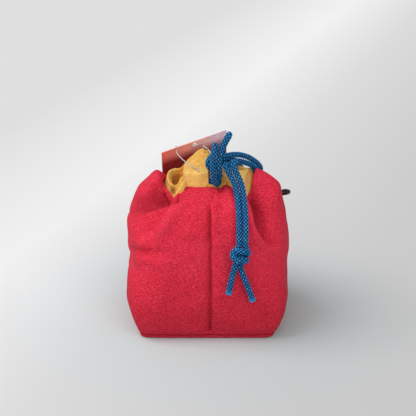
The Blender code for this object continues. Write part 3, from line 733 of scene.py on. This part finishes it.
def innerLayer(places, depth):
    # a calmer copy of the wall, nowhere nearer to its outside than the depth
    calm = smoothed(places, 12)
    normals = wallNormals(calm)
    over = np.sum((calm - places) * normals, axis=2)
    over = smoothed(over[..., None], 3)[..., 0]
    inside = calm - normals * (np.maximum(over, 0) + depth)[..., None]
    builder = gridMesh(wrapped(places))
    builder.normal_update()
    outside = BVHTree.FromBMesh(builder)
    for _ in range(4):
        for index in np.ndindex(inside.shape[:2]):
            at = Vector(inside[index])
            nearest, normal, _, _ = outside.find_nearest(at)
            short = depth + (at - nearest).dot(normal)
            if short > 0:
                inside[index] = at - normal * min(short, pouch["calmStep"])
        inside = smoothed(inside, 1)
    builder.free()
    return inside


def crepeMaterial(name, values):
    # the shade layer holds the painted shade of folds, seams, base and lower wall, and the painted highlight
    # on the ridges and round the belly
    made, add = startMaterial(name)
    place = add("TexCoord", output="Object")
    drift = add("TexNoise", {"Vector": place, "Scale": 1 / values["drift"], "Detail": 3})
    flat = add("Mapping", {"Vector": place, "Scale": (1, 1, 1.7)})
    weave = {"Vector": flat, "Scale": 1 / values["pebble"], "Detail": 2, "Roughness": 0.6, "Distortion": 0.5}
    pebble = add("TexNoise", weave)
    thread = {"Vector": place, "Scale": 1 / values["thread"], "Smoothness": 0.8}
    grain = add("TexVoronoi", thread, "Distance", feature="SMOOTH_F1")
    height = add("Math", {0: grain, 1: -0.5, 2: pebble}, operation="MULTIPLY_ADD")
    tone = add("Math", {0: drift, 1: 0.1, 2: height}, operation="MULTIPLY_ADD")
    stops = [(0.12, values["dark"]), (0.34, values["colour"]), (0.58, values["light"])]
    colour = add("ValToRGB", {"Fac": tone}, stops=stops)
    shade = add("VertexColor", layer_name="shade")
    parts = add("SeparateColor", {0: shade}).node.outputs
    for part, start, tint in ((1, 0.0, "wearAndHighlight"), (0, 0.05, "deep")):
        share = add("MapRange", {0: parts[part], 1: start, 2: 1.0, 3: 0.0, 4: values[tint + "Share"]})
        colour = add("Mix", {0: share, 6: colour, 7: values[tint]}, 2, data_type="RGBA")
    relief = {"Strength": values["bump"], "Distance": values["grainDepth"], "Height": height}
    return finishMaterial(
        made,
        {
            "Base Color": colour,
            "Normal": add("Bump", relief),
            "Roughness": values["roughness"],
            "Sheen Weight": values["sheen"],
            "Sheen Roughness": 0.5,
            "Sheen Tint": values["light"],
            "Specular IOR Level": 0.15,
        },
    )


# Crepe-woven polyester over padding: matt, pebbled, with a soft red bloom at grazing angles.
redCloth = {
    "colour": "#d6263e",
    "light": "#e63e55",
    "dark": "#b6192e",
    "deep": "#7c0b1b",  # painted shade for the folds, the seams, the base strip and the lower wall
    "deepShare": 0.55,
    "wearAndHighlight": "#f2405c",  # painted highlight for the ridges and the belly
    "wearAndHighlightShare": 0.4,
    "roughness": 0.75,
    "drift": 7 * mm,
    "pebble": 1.25 * mm,
    "thread": 0.7 * mm,  # drawn coarser than the real threads, so that they show
    "bump": 0.9,
    "grainDepth": 0.6 * mm,
    "sheen": 0.08,
}
redLook = crepeMaterial("red crepe polyester", redCloth)


def makeWalls():
    places, stations, levels, settle, hollow, wearAndHighlight = wallPlaces()
    shades = np.stack([hollow, wearAndHighlight, hollow * 0, hollow * 0 + 1], axis=-1)
    places = settleCloth(places, settle)
    half = len(stations) // 2
    for name, node, turn, seams in (
        ("rightWallCloth", "outer_right_panel", 0, {"first": 1.0 * mm, "last": 1.5 * mm, "top": 1.72}),
        ("leftWallCloth", "outer_left_panel", half, {"first": 1.5 * mm, "last": 2.8 * mm, "top": 1.72}),
    ):
        part, facing, shade = (
            np.roll(whole, -turn, axis=1)[:, : half + 1] for whole in (places, wallNormals(places), shades)
        )
        part, rolled = rollSeams(part, facing, levels, seams)
        # painted shade in the seams' grooves, and more towards the base
        shade[..., 0] = np.maximum(shade[..., 0], 1.3 * np.clip(rolled, 0, 1) ** 3)
        shade[..., 0] += 0.5 * np.exp(-(((part[..., 2] - pouch["shadeHeight"]) / pouch["shadeSpread"]) ** 2))
        builder = thicken(gridMesh(part, shade), pouch["cloth"])
        piece = finishPiece(name, builder, redLook, "pouch", (node,))
    return places, stations, levels


walls = makeWalls()

print("base, lining and padding")


def refinedCopy(name, node, look):
    # the solid's own shape with its edges softened
    builder = bmesh.new()
    builder.from_mesh(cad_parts[node].data)
    bmesh.ops.remove_doubles(builder, verts=builder.verts, dist=1e-6)
    bmesh.ops.join_triangles(
        builder, faces=builder.faces, angle_face_threshold=radians(60), angle_shape_threshold=radians(60)
    )
    piece = finishPiece(name, builder, look, "pouch", (node,))
    finer = piece.modifiers.new("finer", "SUBSURF")
    finer.levels = finer.render_levels = 1


def feltMaterial(name, values):
    made, add = startMaterial(name)
    place = add("TexCoord", output="Object")
    short = {"Vector": place, "Scale": 1 / values["fibre"], "Detail": 6, "Roughness": 0.7}
    fibres = add("TexNoise", short)
    clumps = add("TexNoise", {"Vector": place, "Scale": 1 / values["clump"], "Detail": 3})
    tone = add("Math", {0: clumps, 1: 0.6, 2: fibres}, operation="MULTIPLY_ADD")
    stops = [(0.55, values["dark"]), (0.8, values["colour"]), (1.05, values["light"])]
    colour = add("ValToRGB", {"Fac": tone}, stops=stops)
    if "hollow" in values:
        shade = add("VertexColor", layer_name="shade")
        hollow, hole, paintedLight = add("SeparateColor", {0: shade}).node.outputs
        # painted light and painted shade laid over the fleece's colour
        for share, tint in ((paintedLight, "paintedLight"), (hollow, "hollow"), (hole, "hole")):
            colour = add("Mix", {0: share, 6: colour, 7: values[tint]}, 2, data_type="RGBA")
    return finishMaterial(
        made,
        {
            "Base Color": colour,
            "Normal": add("Bump", {"Strength": 1.0, "Distance": 0.5 * mm, "Height": tone}),
            "Roughness": 0.9,
            "Sheen Weight": 0.1,
            "Specular IOR Level": 0.2,
        },
    )


# Brushed yellow fleece, felt-like: short fibres soften every edge and scatter the light.
yellowFelt = {
    "colour": "#dca74c",
    "light": "#efc06a",
    "dark": "#bd7f28",
    # painted light for the front of the gathers, and painted shade for the loop's hollow, the needle holes
    # and the gap at the left end
    "paintedLight": "#ffd27a",
    "hollow": "#cf7f25",
    "hole": "#5a3413",
    "fibre": 0.8 * mm,
    "clump": 2.2 * mm,
}
feltLook = feltMaterial("brushed yellow fleece", yellowFelt)
# Polyester wadding: white, matt and cloudy.
wadLook = feltMaterial(
    "white polyester wadding",
    {"colour": "#e9e8e2", "light": "#f4f3ee", "dark": "#d6d4cc", "fibre": 0.9 * mm, "clump": 4 * mm},
)
# Card board of pressed grey fibres: dull and faintly flecked.
boardLook = feltMaterial(
    "grey card board",
    {"colour": "#8d8378", "light": "#9a9186", "dark": "#7c7368", "fibre": 0.4 * mm, "clump": 3 * mm},
)


def makeBaseCloth():
    # the base cloth is one round plate, turned up at its edge to meet the walls: each row has its
    # share of the outline, how far it lies inside it and its height, in mm
    p = pouch
    profile = [(share, 0, 0) for share in (0, 0.5, 0.9)]
    profile += [(1, 1.9, 0), (1, 0.8, 0.1), (1, 0.25, 0.45), (1, 0.05, 1.0), (1, 0.1, 1.6), (1, 0.3, 1.95)]
    profile += [(1, 0.8, 2.1), (1, 1.2, 1.9), (1, 1.3, 1.3), (0.9, 0, 1.2), (0.5, 0, 1.2), (0, 0, 1.2)]
    rows = []
    for share, inset, height in profile:
        size = (p["baseWidth"] - inset * mm, p["baseDepth"] - inset * mm, p["baseSquareness"])
        ring = [roundedOutline(2 * pi * k / 360, *size) * share for k in range(361)]
        rows.append([(place.x, place.y, height * mm) for place in ring])
    # the base strip gets an even painted shade
    builder = gridMesh(np.array(rows), np.tile((0.6, 0, 0, 1), (len(rows), 361, 1)))
    mergeDoubles(builder)
    finishPiece("outerBaseCloth", builder, redLook, "pouch", ("outer_base_panel",))


makeBaseCloth()
refinedCopy("liningBaseCloth", "lining_base", feltLook)
refinedCopy("baseWaddingFill", "base_wadding", wadLook)


def makeInnerWalls():
    # the wadding and the lining follow the settled wall, each on every second line of it
    places, stations, levels = walls
    rows = [j for j in range(0, len(levels), 2) if 0.07 < levels[j] < 1.68]
    columns = range(0, len(stations), 2)
    for name, node, look, depth, thickness in (
        ("wallWaddingFill", "wall_wadding", wadLook, 2.9 * mm, 1.5 * mm),
        ("liningWallCloth", "lining_wall", feltLook, 4.7 * mm, 0.8 * mm),
    ):
        grid = innerLayer(places, depth)[np.ix_(rows, columns)]
        if node == "lining_wall":  # its top runs up inside the collar
            reach = collar["depth"] - 0.6 * mm
            tops = []
            for station in stations[::2]:
                low = min(channelHeight(station % 20) - 4 * mm, seamPlace(station).z) - 1.4 * mm
                tops.append(tuple(ringPlace(station, reach, low)))
            steps = [grid[-1] * (1 - share) + np.array(tops) * share for share in (0.34, 0.67, 1)]
            grid = np.concatenate([grid, steps])
        builder = gridMesh(wrapped(grid))
        bmesh.ops.remove_doubles(builder, verts=builder.verts, dist=1e-6)
        thicken(builder, thickness)
        piece = finishPiece(name, builder, look, "pouch", (node,))


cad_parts["base_board"].data.materials[0] = boardLook

print("collar")
# A strip of fleece stands up from the seam, turns over at its rim and runs down inside round
# the drawstring. At the front left it lies back over the mouth and meets the rear half's crest.
collar = {
    "channel": 94.4 * mm,
    "cord": 3.4 * mm,
    "cloth": 1.2 * mm,
    "rim": 2.7 * mm,
    "depth": 6.6 * mm,
    "allowance": 1.8 * mm,  # how far the strip reaches below the seam
    "overCord": 3.4 * mm,  # how far the rim stands above the cord, at least
    "underCord": 1 * mm,
    "loopThin": 2.5 * mm,  # how much thinner the channel is in the open loop
    "loopDrop": 1.1 * mm,  # how far its cord lies lower there
    "loopOut": 0.9 * mm,  # and further out
    "slotLeft": 19.82,
    "slotRight": 1.30,
    "steps": 16,  # for each pleat line
    "points": 40,
    "waves": ((6, 0.28), (2.2, 0.09)),
    # needle holes, drawn only as painted shade: x, y and radius in the camera's view, in pixels
    "holes": ((198.1, 171.8, 0.95), (205.3, 152.2, 1.25)),
}
# how much lower the rim lies in view, by station, in mm
lipDrops = (
    (15.0, 0), (15.5, 1.5), (16, 2.5), (16.5, 2.7), (17, 2.3), (17.5, 1.9), (17.8, 2.3),
    (17.98, 1.2), (18.2, 1.4), (19.9, 1.4), (20.1, 0.4), (21.3, 0.5),
)
# how much the inside of the loop is thinned, and its cord moved out and down, by station
loopShares = ((11.6, 0), (12.4, 1), (17.4, 1), (17.9, 0))
# moves of the collar's outside: station, share of its height, their spreads, outward in mm
collarRelief = (
    (17.05, 0.30, 0.13, 0.50, -1.6),  # the gap beside the narrow tuck
    (17.45, 0.30, 0.22, 0.55, 1.3),  # the tuck
    (14.8, 0.50, 1.3, 0.35, 1.0),
    (16.2, 0.55, 0.5, 0.25, 0.8),
    (4.1, 0.16, 0.45, 0.16, 1.5),  # the lit lobe at the right tip
    (3.6, 0.45, 0.22, 0.30, -1.0),
    (5.2, 0.45, 0.9, 0.40, 1.6),
    (5.7, 0.85, 0.8, 0.30, 0.8),
    (6.2, 0.45, 0.8, 0.45, -1.6),
    (2.0, 0.55, 0.35, 0.40, -1.8),  # the dark pleat beside the slot
    (18.9, 0.40, 0.8, 0.30, 0.5),
    (19.6, 0.15, 0.3, 0.20, 0.4),
)


def between(table, station):
    return float(np.interp(station, *zip(*table)))


def towardsMouth(station):
    along = rimPlace(station + 0.05) - rimPlace(station - 0.05)
    return Vector((-along.y, along.x, 0)).normalized()


def ringPlace(station, depth, height):
    place = rimPlace(station) + towardsMouth(station) * depth
    place.z = height
    return place


def channelHeight(station):
    droop = tableRow(rims, station)[3]
    return collar["channel"] * (1 - droop) - collar["loopDrop"] * between(loopShares, station)


def domePlace(x):
    # the rear half's crest at this x
    best = min((abs(ringPlace(s / 20, 1.4 * mm, 0).x - x), s / 20) for s in range(170, 245))[1]
    return ringPlace(best, 1.4 * mm, rimPlace(best).z)


def collarCurve(station):
    c = collar
    ring = station % 20
    inward = towardsMouth(station)
    seam = seamPlace(station)
    up = Vector((0, 0, 1))
    loop = between(loopShares, ring)
    onward = ring if ring > 10 else ring + 20
    drop = between(lipDrops, onward) * mm
    channel = channelHeight(ring)
    rim = rimPlace(station)
    crest = max(rim.z, channel + c["cord"] / 2 + c["overCord"] * (1 - loop)) - drop
    depth = c["depth"] - c["loopThin"] * loop
    rimDepth = c["rim"] * (1 - 0.15 * loop)
    bottom = channel - c["cord"] / 2 - c["underCord"]
    outer = ringPlace(station, 0, crest - 0.35 * rimDepth)
    foot = seam + inward * 0.35 * mm - up * c["allowance"]
    curve = [foot, seam + inward * 0.5 * mm + up * 0.2 * mm]
    curve += [curve[1].lerp(outer, 0.35), curve[1].lerp(outer, 0.7), outer]
    closed = between(((17.85, 0), (18.05, 1), (20.0, 1)), onward)
    rimShares = ((0.5, 0, 0), (0.7, 0.1, 0), (1, 0.35, 0), (1, 1, 0.6 * mm))
    lip = [ringPlace(station, a * rimDepth + on, crest - b * rimDepth) for a, b, on in rimShares]
    if closed > 0 and ring > 10:  # here it lies back over the mouth
        dome = domePlace(rim.x)
        front = ringPlace(station, 0.45 * rimDepth, crest)
        back = Vector((rim.x, dome.y - 2.4 * mm, max(dome.z - 0.6 * mm, crest)))
        low = back - up * 3.2 * mm + Vector((0, -1.6 * mm, 0))
        shut = [front, front.lerp(back, 0.45), back, low]
        shut[1].z = front.z + (back.z - front.z) * 0.2
        lip = [a.lerp(b, closed) for a, b in zip(lip, shut)]
    curve += lip
    over = channel + c["cord"] / 2 + c["cloth"]
    curve += [
        ringPlace(station, depth - 0.5 * mm, min(over, crest - rimDepth - 0.3 * mm)),
        ringPlace(station, depth, channel),
        ringPlace(station, depth + 0.6 * mm * loop, bottom),
    ]
    if loop > 0:  # the loop's hollow is closed below by the tucked edge
        curve.append(ringPlace(station, depth + 4.2 * mm * loop, bottom - 0.6 * mm * loop))
    return curve


def clamped(value):
    return min(1, max(0, value))


def feltShade(place, share, inside):
    # red: painted shade in the loop's hollow; green: painted shade of the needle holes and of the gap at the
    # left end; blue: painted light
    x, y = inView(np.array(place))
    hollow = clamped((share - 0.5) / 0.12) if inside else 0.0
    hole = paintedLight = 0.0
    if place.y < 9 * mm:
        for holeX, holeY, reach in collar["holes"]:
            hole = max(hole, 1 - (((x - holeX) ** 2 + (y - holeY) ** 2) ** 0.5 / reach) ** 2)
    if place.y < -6 * mm:
        # painted light on the front of the gathers and on the right end, and painted shade at the left end
        paintedLight = clamped((y - 168) / 5) * clamped((15 - abs(x - 197)) / 5)
        paintedLight = 0.55 * max(paintedLight, clamped((x - 228) / 6))
        shaded = np.exp(-(((x - 172.8) / 3.2) ** 2) - ((y - 190.5) / 5) ** 2)
        hollow = max(hollow, shaded)
        hole = max(hole, 0.8 * shaded)
    return hollow, max(0.0, hole), paintedLight, 1


def makeCollar():
    c = collar
    count = round((c["slotLeft"] - c["slotRight"]) * c["steps"])
    stations = np.linspace(c["slotRight"], c["slotLeft"], count + 1)
    rows = [[tuple(p) for p in evenPlaces(collarCurve(s), c["points"])[0]] for s in stations]
    grid = np.array(rows).transpose(1, 0, 2)
    normals = unit(np.cross(np.gradient(grid, axis=1), np.gradient(grid, axis=0)))
    share = np.linspace(0, 1, c["points"] + 1)[:, None] / 0.45
    push = np.zeros(grid.shape[:2])
    for station, height, spread, rise, move in collarRelief:
        away = ((stations[None, :] - station) / spread) ** 2 + ((share - height) / rise) ** 2
        push += move * mm * np.exp(-away)
    push *= np.clip(share / 0.12, 0, 1) * np.clip((1.1 - share) / 0.2, 0, 1)
    grid = grid - normals * push[..., None]
    grid = grid - normals * roughness(grid, c["waves"])[..., None]
    shades = [
        [feltShade(Vector(p), j / c["points"], 11.4 < s < 17.9) for p, s in zip(row, stations)]
        for j, row in enumerate(grid)
    ]
    builder = gridMesh(grid, shades)
    strip = slotStrip()
    mesh = bpy.data.meshes.new("slotStrip")
    strip.to_mesh(mesh)
    strip.free()
    builder.from_mesh(mesh)
    bpy.data.meshes.remove(mesh)
    thicken(builder, c["cloth"], 70)
    area = sum(f.calc_area() for f in builder.faces) / 2
    print("  collar area in square mm", round(area * 1e6))
    return finishPiece("collarCloth", builder, feltLook, "pouch", ("collar_channel",))


# the tuck at the collar's left end: the stations it lies between, its half width and depth
tuck = {"first": 17.08, "last": 18.0, "width": 2.0 * mm, "depth": 1.5 * mm, "ripple": 0.25 * mm}


def makeTuck():
    # it lies over as a small rolled leaf
    low, high = seamPlace(tuck["first"]), seamPlace(tuck["last"])
    low += Vector((0.6, -0.9, 0.9)) * mm
    high += Vector((0.2, -0.6, 4.4)) * mm
    along = (high - low).normalized()
    side = along.cross(Vector((0, -1, 0))).normalized()
    axes = Matrix((side, along.cross(side), along)).transposed().to_4x4()
    axes.translation = (low + high) / 2
    builder = bmesh.new()
    bmesh.ops.create_uvsphere(builder, u_segments=48, v_segments=32, radius=1)
    size = (tuck["width"], tuck["depth"], (high - low).length / 2 + 0.8 * mm)
    bmesh.ops.scale(builder, verts=builder.verts, vec=size)
    for vert in builder.verts:
        vert.co.x += 0.9 * mm * sin(vert.co.z / (3.2 * mm)) * 0.6
        vert.co += vert.co.normalized() * noise.noise(vert.co / (2.4 * mm)) * tuck["ripple"]
    bmesh.ops.transform(builder, matrix=axes, verts=builder.verts)
    bmesh.ops.recalc_face_normals(builder, faces=builder.faces)
    finishPiece("collarTuck", builder, feltLook, "pouch")


def slotStrip():
    # the narrow strip of fleece under the slot: how far in and how high each of its points lies
    profile = ((0.5, -1.8), (0.35, 0.4), (0.55, 1.15), (1.3, 1.4), (2.2, 0.85), (2.6, -1.2))
    rows = []
    for station in np.linspace(19.62, 21.5, 31):
        seam, inward = seamPlace(station), towardsMouth(station)
        points = [seam + inward * a * mm + Vector((0, 0, b * mm)) for a, b in profile]
        rows.append([tuple(p) for p in evenPlaces(points, 14)[0]])
    return gridMesh(np.array(rows).transpose(1, 0, 2))


makeInnerWalls()
collarCloth = makeCollar()
makeTuck()

print("tag and trim")
# The tag's own axes: along its top edge, down its side, out of its back; the origin is its hole.
tag = {
    "corner": (-0.0294, 0.0250, 0.1012),
    "along": (0.0419, 0.0200, 0.0098),
    "width": 47.5 * mm,
    "thickness": 0.5 * mm,
    "holeDrop": 2.8 * mm,
    "lean": 0.45,
    "cloud": 9 * mm,
    "streak": 1.3 * mm,
    "printReach": 24 * mm,
    "fadeStart": 1.5 * mm,  # below the hole the print grows dark between these
    "fadeEnd": 8 * mm,
    "left": "#f08c78",
    "middle": "#ffc2aa",
    "right": "#f2dfe6",
    "low": "#842226",
}


def tagAxes():
    along = Vector(tag["along"]).normalized()
    side = Vector((0, tag["lean"], -1))
    side = (side - along * side.dot(along)).normalized()
    axes = Matrix((along, side, along.cross(side))).transposed().to_4x4()
    axes.translation = Vector(tag["corner"]) + along * tag["width"] / 2 + side * tag["holeDrop"]
    return axes


def cardMaterial():
    # Printed and varnished card: even, softly shining, with a cloudy print that darkens downwards.
    made, add = startMaterial("varnished printed card")
    place = add("TexCoord", output="Object")
    axes = tagAxes()
    own = {"Vector": place, "Location": axes.translation, "Rotation": axes.to_euler()}
    turned = add("Mapping", own, vector_type="TEXTURE")
    mist = {"Vector": turned, "Scale": 1 / tag["cloud"], "Detail": 4, "Distortion": 0.4}
    cloud = add("TexNoise", mist)
    x, y, _ = add("SeparateXYZ", {0: turned}).node.outputs
    across = add("MapRange", {0: x, 1: -tag["printReach"], 2: tag["printReach"], 3: -0.1, 4: 0.9})
    shifted = add("Math", {0: cloud, 1: 0.25, 2: across}, operation="MULTIPLY_ADD")
    stops = [(0.1, tag["left"]), (0.5, tag["middle"]), (0.85, tag["right"])]
    colour = add("ValToRGB", {"Fac": shifted}, stops=stops)
    down = add("MapRange", {0: y, 1: tag["fadeStart"], 2: tag["fadeEnd"], 3: 0.0, 4: 0.95})
    flat = add("Mapping", {"Vector": turned, "Scale": (0.35, 1, 1)})
    share = add("TexNoise", {"Vector": flat, "Scale": 1 / tag["streak"], "Detail": 2})
    for factor, more in ((1.2, -0.6), (0.9, down)):
        share = add("Math", {0: share, 1: factor, 2: more}, operation="MULTIPLY_ADD", use_clamp=True)
    colour = add("Mix", {0: share, 6: colour, 7: tag["low"]}, 2, data_type="RGBA")
    return finishMaterial(made, {"Base Color": colour, "Roughness": 0.32})


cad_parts["tag_card"].data.materials[0] = cardMaterial()

# Clear nylon, drawn and moulded: nearly white where it is seen against the light.
nylon = {
    "filament": 0.6 * mm,
    "headLength": 3.6 * mm,
    "headWidth": 1.4 * mm,
    "headGap": 0.3 * mm,
    "headCuts": (-0.7 * mm, 0.1 * mm),
    "headWaist": 0.86,
    "headRound": 0.28 * mm,
    "cloud": 1.5 * mm,
    "colour": "#e8e6e2",
    "cloudy": "#cfccc8",
}


def nylonMaterial():
    made, add = startMaterial("clear moulded nylon")
    place = add("TexCoord", output="Object")
    cloud = add("TexNoise", {"Vector": place, "Scale": 1 / nylon["cloud"], "Detail": 2})
    stops = [(0.35, nylon["cloudy"]), (0.65, nylon["colour"])]
    colour = add("ValToRGB", {"Fac": cloud}, stops=stops)
    return finishMaterial(
        made, {"Base Color": colour, "Roughness": 0.28, "Transmission Weight": 0.35, "IOR": 1.53}
    )


clearLook = nylonMaterial()

filamentRoute = inMetres((
    (-6.0, 35.9, 103.5), (-4.3, 36.5, 103.7), (-1.5, 37.5, 103.3), (-2.4, 15.0, 108.8),
    (0.0, 6.8, 109.8), (2.1, 1.0, 109.0), (3.0, -4.0, 106.5), (2.7, -8.6, 102.0),
    (2.6, -11.4, 99.2), (1.9, -13.6, 97.5), (0.6, -14.7, 96.8), (-1.6, -15.0, 96.8),
    (-3.6, -15.3, 96.8), (-5.0, -16.1, 96.9), (-5.5, -16.5, 97.8), (-5.5, -16.5, 99.6),
    (-5.5, -16.5, 102.2), (-5.5, -16.5, 104.4), (-6.5, -14.8, 103.6), (-8.3, -11.6, 103.4),
    (-11.4, -4.0, 103.0), (-14.8, 4.8, 102.7), (-18.1, 13.5, 103.2), (-19.8, 20.8, 103.6),
    (-19.4, 28.7, 102.1), (-19.8, 28.3, 103.4), (-20.3, 28.9, 104.3), (-20.6, 30.0, 104.2),
    (-19.6, 31.3, 103.4), (-16.9, 32.8, 103.2), (-12.6, 35.1, 103.5), (-10.0, 36.2, 103.7),
    (-8.7, 36.3, 103.6), (-8.3, 36.0, 103.5),
))


def makeFilament():
    places, length = evenPlaces(filamentRoute, step=0.3 * mm)
    turns = [2 * pi * i / 10 for i in range(11)]
    rings = [[tuple(places[0])] * 11]
    for place, (_, side, up) in zip(places, carriedFrames(places)):
        rings.append([tuple(place + (side * cos(a) + up * sin(a)) * nylon["filament"] / 2) for a in turns])
    builder = gridMesh(np.array(rings + [[tuple(places[-1])] * 11]))
    mergeDoubles(builder)
    piece = finishPiece("tagFilament", builder, clearLook, None, ("tag_fastener_loop",))
    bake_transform(piece)
    print("filament length in mm", round(length / mm, 1))


def makeHead():
    # the moulded snap head: a small barrel with a waist, lying on the card's back
    size = nylon["headWidth"]
    builder = bmesh.new()
    bmesh.ops.create_cube(builder, size=1)
    bmesh.ops.scale(builder, verts=builder.verts, vec=(nylon["headLength"], size, size))
    rings = []
    for x in nylon["headCuts"]:
        cut = bmesh.ops.bisect_plane(
            builder,
            geom=[*builder.verts, *builder.edges, *builder.faces],
            plane_co=(x, 0, 0),
            plane_no=(1, 0, 0),
        )
        rings.append([v for v in cut["geom_cut"] if isinstance(v, bmesh.types.BMVert)])
    bmesh.ops.scale(builder, verts=rings[0], vec=(1, nylon["headWaist"], nylon["headWaist"]))
    bmesh.ops.bevel(
        builder,
        geom=builder.edges[:],
        offset=nylon["headRound"],
        segments=2,
        profile=0.5,
        affect="EDGES",
        material=-1,
    )
    drop = tag["thickness"] / 2 + nylon["headGap"] + 0.8 * mm
    bmesh.ops.translate(builder, verts=builder.verts, vec=(0, 0, -drop))
    bmesh.ops.transform(builder, matrix=tagAxes(), verts=builder.verts)
    bmesh.ops.recalc_face_normals(builder, faces=builder.faces)
    finishPiece("snapHead", builder, clearLook, "tag", ("tag_fastener_head",))


makeFilament()
makeHead()

# Black nylon cord, tightly braided: dull, with a fine grey painted highlight on the yarns and painted shade
# in the gaps.
loop = drawstring | {
    "diameter": 2.4 * mm,
    "crest": 1.08,
    "yarnPitch": 1.9 * mm,  # coarser than the real braid, so that it shows
    "yarnHeight": 0.14,
    "sides": 40,
    "gap": "#08090b",
    "yarn": "#26292d",
    "shine": "#6b7076",
    "tip": "#3a3d42",
}
# Its line, given in shares of the pouch's width, depth and height.
loopPlaces = (
    (0.9026, 0.1714, 0.8102), (0.9344, 0.1868, 0.8184), (0.9781, 0.2000, 0.8245),
    (1.0199, 0.2264, 0.8194), (1.0398, 0.2791, 0.8061), (1.0318, 0.3341, 0.7908),
    (0.9960, 0.3714, 0.7806), (0.9543, 0.3758, 0.7745), (0.9165, 0.3626, 0.7673),
    (0.8827, 0.3407, 0.7592),
)
braidedCord(
    "hangingLoop",
    [fromShares(*place) for place in loopPlaces],
    "pouch",
    ("hanging_loop",),
    size=loop,
    look=cordMaterial("black braided nylon", loop),
)


def makeChannelRun():
    # the drawstring inside the collar's channel, moved a little outwards in the open loop
    first, last = 1.92, 19.46
    route = []
    for station in np.linspace(first, last, 71):
        depth = collar["depth"] / 2 + 0.1 * mm - collar["loopOut"] * between(loopShares, station)
        route.append(ringPlace(station, depth, channelHeight(station)))
    braidedCord(
        "channelCord",
        route,
        "pouch",
        ("drawstring_channel_run",),
        girth=lambda share: 1 - 0.4 * between(loopShares, first + (last - first) * share),
    )


makeChannelRun()

print("stage")
stage = {
    # painted light: the board is lighter to the left of the pouch and darker to the right
    "floor": ((0.0, "#d2d2d2"), (0.25, "#e4e4e4"), (0.42, "#cfcfcf"), (0.62, "#c0c0c0"), (0.8, "#bababa")),
    "sweep": 0.35,
    "cool": "#f3ffff",
    "coolReach": (0.15, 0.06),
    "skyColour": "#f6f7fa",
    "sky": 0.42,
    # each lamp: where it stands, its strength and how soft its shadow is
    "lamps": (((-0.7, -0.12, 1.0), 1.85, 46), ((0.15, -1.0, 0.75), 1.5, 60)),
}


def makeStage():
    builder = bmesh.new()
    bmesh.ops.create_grid(builder, x_segments=1, y_segments=1, size=4)
    floorLook, add = startMaterial("matt painted board")
    place = add("TexCoord", output="Object")
    across = add("VectorMath", {0: place, 1: (1, -0.35, 0)}, "Value", operation="DOT_PRODUCT")
    share = add("MapRange", {0: across, 1: -stage["sweep"], 2: stage["sweep"], 3: 0.0, 4: 1.0})
    colour = add("ValToRGB", {"Fac": share}, stops=stage["floor"])
    # a painted cool tint round the pouch, to cancel the red light the pouch throws on the board
    reach = add("VectorMath", {0: place}, "Value", operation="LENGTH")
    far, close = stage["coolReach"]
    near = add("MapRange", {0: reach, 1: close, 2: far, 3: 1.0, 4: 0.0})
    cooled = {0: near, 6: colour, 7: stage["cool"]}
    colour = add("Mix", cooled, 2, data_type="RGBA", blend_type="MULTIPLY")
    finishMaterial(floorLook, {"Base Color": colour, "Roughness": 0.95, "Specular IOR Level": 0.1})
    floor = finishPiece("floor", builder, floorLook, None, smooth=False)
    floor.data.transform(Matrix.Translation((0, 0, -0.2 * mm)))
    world = bpy.data.worlds.new("studio")
    world.use_nodes = True
    sky = world.node_tree.nodes["Background"].inputs
    sky["Color"].default_value = toLinear(stage["skyColour"])
    sky["Strength"].default_value = stage["sky"]
    bpy.context.scene.world = world
    for place, strength, softness in stage["lamps"]:
        data = bpy.data.lights.new("lamp", "SUN")
        data.energy = strength
        data.angle = radians(softness)
        placeObject("lamp", data).rotation_euler = (-Vector(place)).to_track_quat("-Z", "Y").to_euler()


makeStage()
bpy.context.scene.view_settings.view_transform = "Standard"
